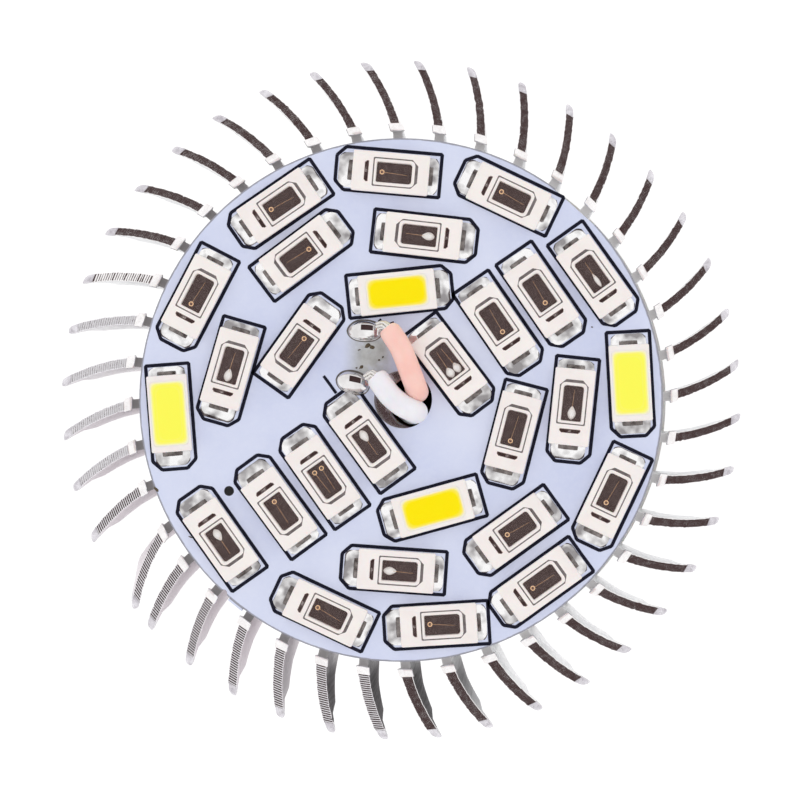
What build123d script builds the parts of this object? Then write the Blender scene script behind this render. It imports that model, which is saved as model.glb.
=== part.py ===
from build123d import *
import math
import os

os.makedirs("parts", exist_ok=True)

# ------------------------------------------------------------------ dimensions
# All sizes are millimetres. The axis of the bulb is Z, the screw cap is at the
# bottom and the LED face looks up. Z = 0 is the tip of the centre contact.

# levels
Z_CAP_RIM = 26.4          # upper edge of the screw cap's skirt
Z_SINK_REAR = 54.0        # rear end of the heat sink
Z_SINK_WAIST = 63.0       # the fins widen slowly up to here,
Z_SINK_SHOULDER = 69.0    # faster up to here,
Z_SINK_LIP = 76.0         # hardly at all up to here, and then out to the tips
Z_BEND = 68.0             # the bent fin leaves its straight run here
Z_FRONT = 80.0            # turned front face of the fins
Z_SEAT = 78.4             # turned seat under the LED board
Z_WEB = 74.5              # underside of the heat sink's web
PASTE_T = 0.1             # thermal paste
BOARD_T = 1.5             # LED board
Z_BOARD = Z_SEAT + PASTE_T + BOARD_T      # LED board, upper face

# heat sink
N_FINS = 40
FIN_PHASE = 0.75          # angle of the first fin's root, degrees
FIN_R = 25.2              # over the fin tips
FIN_WAIST_R = 22.0
FIN_SHOULDER_R = 23.65
FIN_LIP_R = 24.0
FIN_REAR_R = 20.8         # over the fins at the rear end
TIP_ROUND = 0.7           # turned rounding at the tips
RECESS_R = 19.95          # turned recess around the board
RECESS_LIP = 0.55         # bevel at the recess's mouth
CORE_R = 17.5
BORE_R = 15.6
WIRE_HOLE_R = 1.90
WIRE_HOLE_AT = (0.95, -0.12)
BENT_FIN = 23             # the fin that is bent
BENT_TURN = 14.5          # its lean beyond the others', degrees
BENT_PIVOT = 18.6
# centre line of a fin: radius, offset to the left, lean in degrees, half thickness
FIN_LINE = [
    (17.0, 0.000, 0.0, 0.45),
    (19.8, 0.000, 8.0, 0.34),
    (22.2, 0.775, 23.0, 0.30),
    (25.45, 2.720, 35.5, 0.27),
]

# LED board
BOARD_R = 19.4
BOARD_HOLE_R = 2.15
BOARD_HOLE_AT = (0.15, 0.05)
TOOL_HOLE_R = 0.37
TOOL_HOLE_AT = (-12.74, -6.74)
TAB_ANGLE = 231.0         # broken-off panel tab that stands out
FLAT_ANGLE = 48.0         # broken-off panel tab that left a flat

# LED packages
LED_L, LED_W, LED_H = 5.7, 3.0, 0.80
LED_GAP = 0.05            # solder under the terminals
LEAD_T = 0.20             # lead frame
LEAD_W = 2.2
LEAD_SPLIT = (-1.15, -1.0)
CUP_TOP = (3.30, 2.10, -0.35)       # length, width, offset of the cup's mouth
CUP_FLOOR = (2.60, 1.46, -0.26)     # length, width, offset of the cup's floor
SLOT = (0.28, 1.50, 1.80, 0.20)     # mark in the housing: length, width, offset, depth
WARM_CUP = (4.60, 2.42, 0.40)       # length, width, corner radius
COOL_CUP = (4.80, 2.66, 0.30)
FILL_LOW = 0.03           # the fill's surface below the housing's top

# x, y, turn in degrees; the marked end of each package points along its turn
RED_LEDS = [
    (-0.76, 16.80, 175.1), (-9.02, 14.39, 214.5), (-15.13, 7.66, 242.5),
    (-5.61, -15.74, 154.7), (2.80, -16.65, 183.5), (10.26, -13.59, 215.7),
    (15.52, -7.09, 244.6), (7.97, 15.09, 154.5), (-7.38, 10.83, 36.8),
    (-9.00, -8.04, 126.2), (8.43, -9.70, 215.8), (10.39, 7.72, 304.5),
    (-7.57, 4.03, 54.5), (7.19, 5.61, 304.5), (8.30, -2.39, 255.5),
]
BLUE_LEDS = [
    (-13.32, -10.33, 125.2), (14.31, 9.14, 305.5), (1.61, 12.15, 353.6),
    (-12.67, 2.30, 254.0), (-0.35, -12.65, 176.0), (12.67, -0.52, 264.1),
    (-2.47, -3.06, 126.0),
]
UV_LEDS = [(3.55, 2.66, 307.0)]
IR_LEDS = [(-5.78, -5.71, 125.0)]
WARM_LEDS = [(-0.26, 7.97, 5.9), (2.37, -8.03, 195.5)]
COOL_LEDS = [(-17.13, -1.00, 274.4), (17.00, 1.26, 273.1)]

# solder at the LED terminals
JOINT_L, JOINT_W, JOINT_H = 0.85, 2.45, 0.42

# supply wires: outer radius, conductor radius, route from the LED board down to
# the driver board
PINK_R, WHITE_R, CORE_WIRE_R = 0.82, 0.87, 0.40
PINK_ROUTE = [
    (-3.20, 5.34, Z_BOARD + 0.52), (-1.00, 5.22, Z_BOARD + 1.15),
    (0.30, 3.50, Z_BOARD + 1.85), (1.12, 0.92, Z_BOARD + 1.55),
    (0.92, 0.86, 74.4), (2.20, 1.90, 69.6), (3.50, 1.70, 65.5), (3.50, -3.55, 65.5),
]
PINK_RADII = [1.6, 2.2, 1.15, 6.0, 3.0, 1.6]
WHITE_ROUTE = [
    (-3.95, 1.25, Z_BOARD + 0.72), (-2.15, 1.28, Z_BOARD + 1.12),
    (-1.25, -0.35, Z_BOARD + 1.50), (0.80, -1.00, Z_BOARD + 1.20),
    (0.52, -0.92, 74.4), (-1.80, 1.10, 69.8), (-3.50, 1.70, 65.5), (-3.50, -3.55, 65.5),
]
WHITE_RADII = [1.3, 1.4, 1.15, 5.0, 3.0, 1.6]
PINK_BARE, WHITE_BARE = 1.35, 0.95        # bared lengths at the LED board
BLOB_PINK = (-2.55, 5.28, 1.38, 0.78, 0.95)      # x, y, half length, half width, height
BLOB_WHITE = (-3.30, 1.37, 1.30, 0.76, 1.00)

# driver housing
HOUSE_TUBE_R = 15.5       # tube inside the heat sink
HOUSE_BORE_R = 14.2
HOUSE_TOP = 72.6
FLANGE_R = 20.4
BOSS_AT = 11.5            # distance of the two screw bosses from the axis
BOSS_R = 2.6
SCREW_R = 1.45
SCREW_HOLE_R = 1.55
COVER_T = 1.8

# driver board
DRV_Y0, DRV_Y1 = -3.0, -1.4
DRV_X = 11.0
DRV_Z0, DRV_Z1 = 36.0, 68.0

# screw cap (E27)
SHELL_T = 0.30
THREAD_ROOT_R = 12.25
THREAD_CREST_R = 13.15
THREAD_PITCH = 3.63
THREAD_BEAD_R = 1.05
THREAD_Z0, THREAD_Z1 = 9.75, 20.75
SKIRT_R = 13.10


# ------------------------------------------------------------------ helpers
def turned(point, angle, about=(0.0, 0.0)):
    """A plane point turned by an angle in degrees about another."""
    c, s = math.cos(math.radians(angle)), math.sin(math.radians(angle))
    x, y = point[0] - about[0], point[1] - about[1]
    return (about[0] + c * x - s * y, about[1] + s * x + c * y)


def fin_sides(turn=0.0):
    """The two long sides of a fin's outline, root to tip, for a fin along +X."""
    left, right = [], []
    for i, (r, off, lean, half) in enumerate(FIN_LINE):
        a = math.radians(lean)
        pl = (r - math.sin(a) * half, off + math.cos(a) * half)
        pr = (r + math.sin(a) * half, off - math.cos(a) * half)
        if i > 0 and turn:
            pl = turned(pl, turn, (BENT_PIVOT, 0.0))
            pr = turned(pr, turn, (BENT_PIVOT, 0.0))
        left.append(pl)
        right.append(pr)
    return left, right


def led_places(rows):
    """Locations of LED packages on the board's upper face."""
    return [Location((x, y, Z_BOARD), (0, 0, a)) for x, y, a in rows]


def along(a, b, dist):
    """The point at a distance from a towards b."""
    a, b = Vector(*a), Vector(*b)
    return tuple(a + (b - a).normalized() * dist)


CLEAR_LEDS = RED_LEDS + BLUE_LEDS + UV_LEDS + IR_LEDS
WHITE_LEDS = WARM_LEDS + COOL_LEDS
ALL_LEDS = CLEAR_LEDS + WHITE_LEDS
LEAD_Z = LED_GAP + LEAD_T
LED_TOP = LED_GAP + LED_H

# ------------------------------------------------------------------ heat sink
left, right = fin_sides()
with BuildSketch() as fin_profile:
    with BuildLine():
        Line(right[0], right[1])
        ThreePointArc(right[1], right[2], right[3])
        Line(right[3], left[3])
        ThreePointArc(left[3], left[2], left[1])
        Line(left[1], left[0])
        Line(left[0], right[0])
    make_face()

left, right = fin_sides(BENT_TURN)
with BuildSketch() as bent_profile:
    with BuildLine():
        Line(right[0], right[1])
        ThreePointArc(right[1], right[2], right[3])
        Line(right[3], left[3])
        ThreePointArc(left[3], left[2], left[1])
        Line(left[1], left[0])
        Line(left[0], right[0])
    make_face()

with BuildPart() as heat_sink:
    # extruded section: round core and leaning fins
    with BuildSketch(Plane.XY.offset(Z_SINK_REAR)):
        Circle(CORE_R)
        with Locations(*[Location((0, 0, 0), (0, 0, FIN_PHASE + 360 / N_FINS * k))
                         for k in range(N_FINS) if k != BENT_FIN]):
            add(fin_profile.sketch)
    extrude(amount=Z_FRONT - Z_SINK_REAR)
    # the bent fin: straight at the rear, leaning over towards the front
    bent_dir = turned((1, 0), FIN_PHASE + 360 / N_FINS * BENT_FIN)
    with BuildSketch(Plane(origin=(0, 0, Z_SINK_REAR), x_dir=(*bent_dir, 0), z_dir=(0, 0, 1))):
        add(fin_profile.sketch)
    extrude(amount=Z_BEND - Z_SINK_REAR)
    with BuildSketch(Plane(origin=(0, 0, Z_BEND), x_dir=(*bent_dir, 0), z_dir=(0, 0, 1))):
        add(fin_profile.sketch)
    with BuildSketch(Plane(origin=(0, 0, Z_FRONT), x_dir=(*bent_dir, 0), z_dir=(0, 0, 1))):
        add(bent_profile.sketch)
    loft(ruled=True)
    # turned envelope: tapered towards the rear, tip rounding, recess with a bevelled mouth
    with BuildSketch(Plane.XZ):
        with BuildLine():
            Polyline(
                (0, Z_SEAT), (0, Z_SINK_REAR), (FIN_REAR_R, Z_SINK_REAR),
                (FIN_WAIST_R, Z_SINK_WAIST), (FIN_SHOULDER_R, Z_SINK_SHOULDER),
                (FIN_LIP_R, Z_SINK_LIP), (FIN_R, Z_FRONT - TIP_ROUND),
            )
            ThreePointArc(
                (FIN_R, Z_FRONT - TIP_ROUND),
                (FIN_R - TIP_ROUND * 0.293, Z_FRONT - TIP_ROUND * 0.293),
                (FIN_R - TIP_ROUND, Z_FRONT),
            )
            Polyline(
                (FIN_R - TIP_ROUND, Z_FRONT), (RECESS_R + RECESS_LIP, Z_FRONT),
                (RECESS_R, Z_FRONT - RECESS_LIP), (RECESS_R, Z_SEAT), (0, Z_SEAT),
            )
        make_face()
    revolve(axis=Axis.Z, mode=Mode.INTERSECT)
    # bore from behind, wire hole and two countersunk screw holes in the web
    with BuildSketch(Plane.XY.offset(Z_SINK_REAR)):
        Circle(BORE_R)
    extrude(amount=Z_WEB - Z_SINK_REAR, mode=Mode.SUBTRACT)
    with Locations((*WIRE_HOLE_AT, Z_SEAT)):
        Hole(WIRE_HOLE_R)
    with Locations((0, BOSS_AT, Z_SEAT), (0, -BOSS_AT, Z_SEAT)):
        CounterSinkHole(radius=SCREW_HOLE_R, counter_sink_radius=2.9, counter_sink_angle=90)
heat_sink.part.label = "heat_sink"
export_step(heat_sink.part, "parts/heat_sink.step")

# thermal paste between the seat and the board
with BuildPart() as thermal_paste:
    with BuildSketch(Plane.XY.offset(Z_SEAT)):
        Circle(CORE_R - 0.2)
        with Locations((0, 0)):
            Circle(3.4, mode=Mode.SUBTRACT)
        with Locations((0, BOSS_AT), (0, -BOSS_AT)):
            Circle(3.3, mode=Mode.SUBTRACT)
    extrude(amount=PASTE_T)
thermal_paste.part.label = "thermal_paste"
export_step(thermal_paste.part, "parts/thermal_paste.step")

# ------------------------------------------------------------------ LED board
tab_dir = turned((1, 0), TAB_ANGLE)
flat_dir = turned((1, 0), FLAT_ANGLE)
with BuildPart() as led_board:
    with BuildSketch(Plane.XY.offset(Z_BOARD - BOARD_T)):
        Circle(BOARD_R)
        # stub of a panel tab, and the notch beside it
        with Locations(Location((tab_dir[0] * (BOARD_R - 0.05), tab_dir[1] * (BOARD_R - 0.05), 0), (0, 0, TAB_ANGLE))):
            Rectangle(0.5, 1.3)
        with Locations(Location((*turned((BOARD_R + 0.05, 0), TAB_ANGLE - 3.6), 0), (0, 0, TAB_ANGLE))):
            Circle(0.28, mode=Mode.SUBTRACT)
        # flat left by the tab on the other side
        with Locations(Location((flat_dir[0] * (BOARD_R + 0.32), flat_dir[1] * (BOARD_R + 0.32), 0), (0, 0, FLAT_ANGLE))):
            Rectangle(1.0, 4.0, mode=Mode.SUBTRACT)
        with Locations(BOARD_HOLE_AT):
            Circle(BOARD_HOLE_R, mode=Mode.SUBTRACT)
        with Locations(TOOL_HOLE_AT):
            Circle(TOOL_HOLE_R, mode=Mode.SUBTRACT)
    extrude(amount=BOARD_T)
    # rounded upper rim from the punching
    rim = led_board.faces().sort_by(Axis.Z)[-1].outer_wire().edges()
    chamfer(rim, length=0.12)
led_board.part.label = "led_board"
export_step(led_board.part, "parts/led_board.step")

# ------------------------------------------------------------------ LED packages
# one moulded housing with a small stepped cup and a mark slot
with BuildPart() as clear_unit:
    with BuildSketch(Plane.XY.offset(LED_GAP)):
        RectangleRounded(LED_L, LED_W, 0.12)
    extrude(amount=LED_H)
    with BuildSketch(Plane.XY.offset(LED_TOP)) as cup_mouth:
        with Locations((CUP_TOP[2], 0)):
            Rectangle(CUP_TOP[0], CUP_TOP[1])
        chamfer(cup_mouth.vertices().group_by(Axis.X)[0], length=0.45)
    with BuildSketch(Plane.XY.offset(LEAD_Z)) as cup_floor:
        with Locations((CUP_FLOOR[2], 0)):
            Rectangle(CUP_FLOOR[0], CUP_FLOOR[1])
        chamfer(cup_floor.vertices().group_by(Axis.X)[0], length=0.25)
    loft(ruled=True, mode=Mode.SUBTRACT)
    with BuildSketch(Plane.XY.offset(LED_TOP)):
        with Locations((SLOT[2], 0)):
            Rectangle(SLOT[0], SLOT[1])
    extrude(amount=-SLOT[3], mode=Mode.SUBTRACT)
    # pockets of the two lead frame halves
    with BuildSketch(Plane.XY.offset(LED_GAP)):
        with Locations(((LEAD_SPLIT[1] + LED_L / 2) / 2, 0)):
            Rectangle(LED_L / 2 - LEAD_SPLIT[1], LEAD_W)
        with Locations(((LEAD_SPLIT[0] - LED_L / 2) / 2, 0)):
            Rectangle(LED_L / 2 + LEAD_SPLIT[0], LEAD_W)
    extrude(amount=LEAD_T, mode=Mode.SUBTRACT)

with BuildPart() as led_housings:
    with Locations(*led_places(CLEAR_LEDS)):
        add(clear_unit.part)
led_housings.part.label = "led_housings"
export_step(led_housings.part, "parts/led_housings.step")

# housings of the white-light packages, with a wide cup
with BuildPart() as warm_unit:
    with BuildSketch(Plane.XY.offset(LED_GAP)):
        RectangleRounded(LED_L, LED_W, 0.12)
    extrude(amount=LED_H)
    with BuildSketch(Plane.XY.offset(LED_TOP)):
        RectangleRounded(*WARM_CUP)
    extrude(amount=-(LED_H - LEAD_T), mode=Mode.SUBTRACT)
    with BuildSketch(Plane.XY.offset(LED_GAP)):
        with Locations(((LEAD_SPLIT[1] + LED_L / 2) / 2, 0)):
            Rectangle(LED_L / 2 - LEAD_SPLIT[1], LEAD_W)
        with Locations(((LEAD_SPLIT[0] - LED_L / 2) / 2, 0)):
            Rectangle(LED_L / 2 + LEAD_SPLIT[0], LEAD_W)
    extrude(amount=LEAD_T, mode=Mode.SUBTRACT)

with BuildPart() as cool_unit:
    with BuildSketch(Plane.XY.offset(LED_GAP)):
        RectangleRounded(LED_L, LED_W, 0.12)
    extrude(amount=LED_H)
    with BuildSketch(Plane.XY.offset(LED_TOP)):
        RectangleRounded(*COOL_CUP)
    extrude(amount=-(LED_H - LEAD_T), mode=Mode.SUBTRACT)
    with BuildSketch(Plane.XY.offset(LED_GAP)):
        with Locations(((LEAD_SPLIT[1] + LED_L / 2) / 2, 0)):
            Rectangle(LED_L / 2 - LEAD_SPLIT[1], LEAD_W)
        with Locations(((LEAD_SPLIT[0] - LED_L / 2) / 2, 0)):
            Rectangle(LED_L / 2 + LEAD_SPLIT[0], LEAD_W)
    extrude(amount=LEAD_T, mode=Mode.SUBTRACT)

with BuildPart() as white_led_housings:
    with Locations(*led_places(WARM_LEDS)):
        add(warm_unit.part)
    with Locations(*led_places(COOL_LEDS)):
        add(cool_unit.part)
white_led_housings.part.label = "white_led_housings"
export_step(white_led_housings.part, "parts/white_led_housings.step")

# lead frame halves, flush with the housing's ends
with BuildPart() as lead_unit:
    with BuildSketch(Plane.XY.offset(LED_GAP)):
        with Locations(((LEAD_SPLIT[1] + LED_L / 2) / 2, 0)):
            Rectangle(LED_L / 2 - LEAD_SPLIT[1], LEAD_W)
        with Locations(((LEAD_SPLIT[0] - LED_L / 2) / 2, 0)):
            Rectangle(LED_L / 2 + LEAD_SPLIT[0], LEAD_W)
    extrude(amount=LEAD_T)

with BuildPart() as led_lead_frames:
    with Locations(*led_places(ALL_LEDS)):
        add(lead_unit.part)
led_lead_frames.part.label = "led_lead_frames"
export_step(led_lead_frames.part, "parts/led_lead_frames.step")

# dies on the cup floors
with BuildPart() as red_unit:
    with BuildSketch(Plane.XY.offset(LEAD_Z)):
        with Locations((0.60, -0.08)):
            Rectangle(0.34, 0.34)
    extrude(amount=0.15)
with BuildPart() as red_dies:
    with Locations(*led_places(RED_LEDS)):
        add(red_unit.part)
red_dies.part.label = "red_dies"
export_step(red_dies.part, "parts/red_dies.step")

with BuildPart() as blue_unit:
    with BuildSketch(Plane.XY.offset(LEAD_Z)):
        with Locations((0.45, 0.0)):
            Rectangle(0.62, 0.34)
    extrude(amount=0.12)
with BuildPart() as blue_dies:
    with Locations(*led_places(BLUE_LEDS)):
        add(blue_unit.part)
blue_dies.part.label = "blue_dies"
export_step(blue_dies.part, "parts/blue_dies.step")

with BuildPart() as pair_unit:
    with BuildSketch(Plane.XY.offset(LEAD_Z)):
        with Locations((0.58, 0.30), (0.58, -0.30)):
            Rectangle(0.36, 0.36)
    extrude(amount=0.13)
with BuildPart() as uv_dies:
    with Locations(*led_places(UV_LEDS)):
        add(pair_unit.part)
uv_dies.part.label = "uv_dies"
export_step(uv_dies.part, "parts/uv_dies.step")
with BuildPart() as ir_dies:
    with Locations(*led_places(IR_LEDS)):
        add(pair_unit.part)
ir_dies.part.label = "ir_dies"
export_step(ir_dies.part, "parts/ir_dies.step")

# clear fill of the small cups, around the dies
with BuildPart() as clear_fill_unit:
    with BuildSketch(Plane.XY.offset(LEAD_Z)) as fill_floor:
        with Locations((CUP_FLOOR[2], 0)):
            Rectangle(CUP_FLOOR[0], CUP_FLOOR[1])
        chamfer(fill_floor.vertices().group_by(Axis.X)[0], length=0.25)
    with BuildSketch(Plane.XY.offset(LED_TOP)) as fill_mouth:
        with Locations((CUP_TOP[2], 0)):
            Rectangle(CUP_TOP[0], CUP_TOP[1])
        chamfer(fill_mouth.vertices().group_by(Axis.X)[0], length=0.45)
    loft(ruled=True)
    with BuildSketch(Plane.XY.offset(LED_TOP - FILL_LOW)):
        Rectangle(6, 4)
    extrude(amount=1, mode=Mode.SUBTRACT)

with BuildPart() as clear_fills:
    with Locations(*led_places(CLEAR_LEDS)):
        add(clear_fill_unit.part)
    add(red_dies.part, mode=Mode.SUBTRACT)
    add(blue_dies.part, mode=Mode.SUBTRACT)
    add(uv_dies.part, mode=Mode.SUBTRACT)
    add(ir_dies.part, mode=Mode.SUBTRACT)
clear_fills.part.label = "clear_fills"
export_step(clear_fills.part, "parts/clear_fills.step")

# phosphor fills of the wide cups
with BuildPart() as warm_fill_unit:
    with BuildSketch(Plane.XY.offset(LEAD_Z)):
        RectangleRounded(*WARM_CUP)
    extrude(amount=LED_TOP - FILL_LOW - LEAD_Z)
with BuildPart() as warm_phosphor:
    with Locations(*led_places(WARM_LEDS)):
        add(warm_fill_unit.part)
warm_phosphor.part.label = "warm_phosphor"
export_step(warm_phosphor.part, "parts/warm_phosphor.step")

with BuildPart() as cool_fill_unit:
    with BuildSketch(Plane.XY.offset(LEAD_Z)):
        RectangleRounded(*COOL_CUP)
    extrude(amount=LED_TOP - FILL_LOW - LEAD_Z)
with BuildPart() as cool_phosphor:
    with Locations(*led_places(COOL_LEDS)):
        add(cool_fill_unit.part)
cool_phosphor.part.label = "cool_phosphor"
export_step(cool_phosphor.part, "parts/cool_phosphor.step")

# solder at both terminals of each package: a foot under the terminal and a
# sloping fillet outside it
with BuildPart() as joint_unit:
    with BuildSketch(Plane.XZ.offset(-JOINT_W / 2)):
        with BuildLine():
            Polyline(
                (LED_L / 2 - 0.5, 0), (LED_L / 2 + JOINT_L, 0), (LED_L / 2 + JOINT_L, 0.08),
                (LED_L / 2 + JOINT_L * 0.62, 0.26), (LED_L / 2 + 0.12, JOINT_H), (LED_L / 2, JOINT_H),
                (LED_L / 2, LED_GAP), (LED_L / 2 - 0.5, LED_GAP), (LED_L / 2 - 0.5, 0),
            )
        make_face()
    extrude(amount=JOINT_W)
    mirror(about=Plane.YZ)

with BuildPart() as led_solder_joints:
    with Locations(*led_places(ALL_LEDS)):
        add(joint_unit.part)
led_solder_joints.part.label = "led_solder_joints"
export_step(led_solder_joints.part, "parts/led_solder_joints.step")

# ------------------------------------------------------------------ supply wires
with BuildPart() as pink_conductor:
    with BuildLine() as pink_core_path:
        FilletPolyline(*PINK_ROUTE, radius=PINK_RADII)
    with BuildSketch(Plane(origin=pink_core_path.line @ 0, z_dir=pink_core_path.line % 0)):
        Circle(CORE_WIRE_R)
    sweep(path=pink_core_path.line)
pink_conductor.part.label = "pink_conductor"
export_step(pink_conductor.part, "parts/pink_conductor.step")

PINK_SLEEVE = ([along(PINK_ROUTE[0], PINK_ROUTE[1], PINK_BARE)] + PINK_ROUTE[1:-1]
               + [(PINK_ROUTE[-1][0], DRV_Y1 + 0.1, PINK_ROUTE[-1][2])])
with BuildPart() as pink_wire:
    with BuildLine() as pink_path:
        FilletPolyline(*PINK_SLEEVE, radius=PINK_RADII)
    with BuildSketch(Plane(origin=pink_path.line @ 0, z_dir=pink_path.line % 0)):
        Circle(PINK_R)
        Circle(CORE_WIRE_R, mode=Mode.SUBTRACT)
    sweep(path=pink_path.line)
pink_wire.part.label = "pink_wire"
export_step(pink_wire.part, "parts/pink_wire.step")

with BuildPart() as white_conductor:
    with BuildLine() as white_core_path:
        FilletPolyline(*WHITE_ROUTE, radius=WHITE_RADII)
    with BuildSketch(Plane(origin=white_core_path.line @ 0, z_dir=white_core_path.line % 0)):
        Circle(CORE_WIRE_R)
    sweep(path=white_core_path.line)
white_conductor.part.label = "white_conductor"
export_step(white_conductor.part, "parts/white_conductor.step")

WHITE_SLEEVE = ([along(WHITE_ROUTE[0], WHITE_ROUTE[1], WHITE_BARE)] + WHITE_ROUTE[1:-1]
                + [(WHITE_ROUTE[-1][0], DRV_Y1 + 0.1, WHITE_ROUTE[-1][2])])
with BuildPart() as white_wire:
    with BuildLine() as white_path:
        FilletPolyline(*WHITE_SLEEVE, radius=WHITE_RADII)
    with BuildSketch(Plane(origin=white_path.line @ 0, z_dir=white_path.line % 0)):
        Circle(WHITE_R)
        Circle(CORE_WIRE_R, mode=Mode.SUBTRACT)
    sweep(path=white_path.line)
white_wire.part.label = "white_wire"
export_step(white_wire.part, "parts/white_wire.step")

# solder joints of the two wires: low domes around the bared ends
with BuildPart() as wire_solder_joints:
    for bx, by, hl, hw, hh in (BLOB_PINK, BLOB_WHITE):
        with BuildSketch(Plane(origin=(bx, by, Z_BOARD), x_dir=(1, 0, 0), z_dir=(0, 0, 1))):
            Ellipse(hl, hw)
        with BuildSketch(Plane(origin=(bx, by, Z_BOARD + 0.45 * hh), x_dir=(1, 0, 0), z_dir=(0, 0, 1))):
            Ellipse(hl * 0.88, hw * 0.88)
        with BuildSketch(Plane(origin=(bx, by, Z_BOARD + hh), x_dir=(1, 0, 0), z_dir=(0, 0, 1))):
            Ellipse(hl * 0.45, hw * 0.45)
        loft()
    for tool in (pink_conductor, pink_wire, white_conductor, white_wire):
        add(tool.part, mode=Mode.SUBTRACT)
wire_solder_joints.part.label = "wire_solder_joints"
export_step(wire_solder_joints.part, "parts/wire_solder_joints.step")

# ------------------------------------------------------------------ housing
with BuildPart() as driver_housing:
    with BuildSketch(Plane.XZ):
        with BuildLine():
            Polyline(
                (10.3, 10.0), (11.85, 10.0), (11.85, 22.1), (12.70, 22.95), (12.70, 26.6),
                (14.3, 26.6), (14.7, 27.2),
            )
            Spline((14.7, 27.2), (15.2, 36.0), (16.4, 46.0), (17.9, 51.2))
            Polyline(
                (17.9, 51.2), (FLANGE_R - 0.4, 52.2), (FLANGE_R, 52.7), (FLANGE_R, Z_SINK_REAR),
                (HOUSE_TUBE_R, Z_SINK_REAR), (HOUSE_TUBE_R, HOUSE_TOP), (HOUSE_BORE_R, HOUSE_TOP),
                (HOUSE_BORE_R, 48.0), (13.2, 35.5), (10.3, 30.5), (10.3, 10.0),
            )
        make_face()
    revolve(axis=Axis.Z)
    # two screw bosses on the tube's wall
    with BuildSketch(Plane.XY.offset(58.0)) as boss_plan:
        for side in (1, -1):
            with Locations((0, side * BOSS_AT)):
                Circle(BOSS_R)
            with Locations((0, side * (BOSS_AT + 1.6))):
                Rectangle(2 * BOSS_R, 3.2)
        Circle(HOUSE_BORE_R + 0.2, mode=Mode.INTERSECT)
    extrude(amount=HOUSE_TOP - 58.0)
    with BuildSketch(Plane.XY.offset(HOUSE_TOP)):
        with Locations((0, BOSS_AT), (0, -BOSS_AT)):
            Circle(SCREW_R + 0.03)
    extrude(amount=-11.0, mode=Mode.SUBTRACT)
    # guide ribs that hold the driver board's edges
    with BuildSketch(Plane.XY.offset(37.0)) as rib_plan:
        for side in (1, -1):
            with Locations((side * 12.2, DRV_Y1 + 0.65), (side * 12.2, DRV_Y0 - 0.65)):
                Rectangle(3.9, 1.0)
        Circle(13.45, mode=Mode.INTERSECT)
    extrude(amount=68.0 - 37.0)
    with BuildSketch(Plane.XY.offset(45.0)) as rib_upper:
        for side in (1, -1):
            with Locations((side * 12.2, DRV_Y1 + 0.65), (side * 12.2, DRV_Y0 - 0.65)):
                Rectangle(4.6, 1.0)
        Circle(HOUSE_BORE_R + 0.1, mode=Mode.INTERSECT)
    extrude(amount=68.0 - 45.0)
    # shelf under the board's lower edge
    with BuildSketch(Plane.XY.offset(35.0)) as shelf_plan:
        for side in (1, -1):
            with Locations((side * 11.6, (DRV_Y0 + DRV_Y1) / 2)):
                Rectangle(4.0, 3.0)
        Circle(13.3, mode=Mode.INTERSECT)
    extrude(amount=0.95)
driver_housing.part.label = "driver_housing"
export_step(driver_housing.part, "parts/driver_housing.step")

# insulating cover over the driver, under the heat sink's web
with BuildPart() as driver_cover:
    with BuildSketch(Plane.XY.offset(HOUSE_TOP)):
        Circle(HOUSE_TUBE_R)
    extrude(amount=COVER_T)
    with BuildSketch(Plane.XY.offset(HOUSE_TOP)):
        Circle(HOUSE_BORE_R - 0.15)
        Circle(HOUSE_BORE_R - 1.5, mode=Mode.SUBTRACT)
        with Locations((0, BOSS_AT), (0, -BOSS_AT)):
            Rectangle(2 * BOSS_R + 1.2, 8.0, mode=Mode.SUBTRACT)
    extrude(amount=-1.4)
    with Locations((0, 0, HOUSE_TOP + COVER_T)):
        Hole(2.9)
    with Locations((0, BOSS_AT, HOUSE_TOP + COVER_T), (0, -BOSS_AT, HOUSE_TOP + COVER_T)):
        Hole(SCREW_HOLE_R)
driver_cover.part.label = "driver_cover"
export_step(driver_cover.part, "parts/driver_cover.step")

# countersunk screws through the web and the cover into the bosses
with BuildPart() as screw_unit:
    with BuildSketch(Plane.XZ):
        with BuildLine():
            Polyline(
                (0, Z_SEAT - 0.15), (2.48, Z_SEAT - 0.15), (2.48, Z_SEAT - 0.38), (SCREW_R, Z_SEAT - 1.39),
                (SCREW_R, 63.5), (0.35, 62.0), (0, 62.0), (0, Z_SEAT - 0.15),
            )
        make_face()
    revolve(axis=Axis.Z)
    # cross recess
    with BuildSketch(Plane.XY.offset(Z_SEAT - 0.15)):
        Rectangle(2.6, 0.55)
        Rectangle(0.55, 2.6)
    extrude(amount=-1.2, mode=Mode.SUBTRACT)
with BuildPart() as fixing_screws:
    with Locations((0, BOSS_AT, 0), (0, -BOSS_AT, 0)):
        add(screw_unit.part)
fixing_screws.part.label = "fixing_screws"
export_step(fixing_screws.part, "parts/fixing_screws.step")

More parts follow.
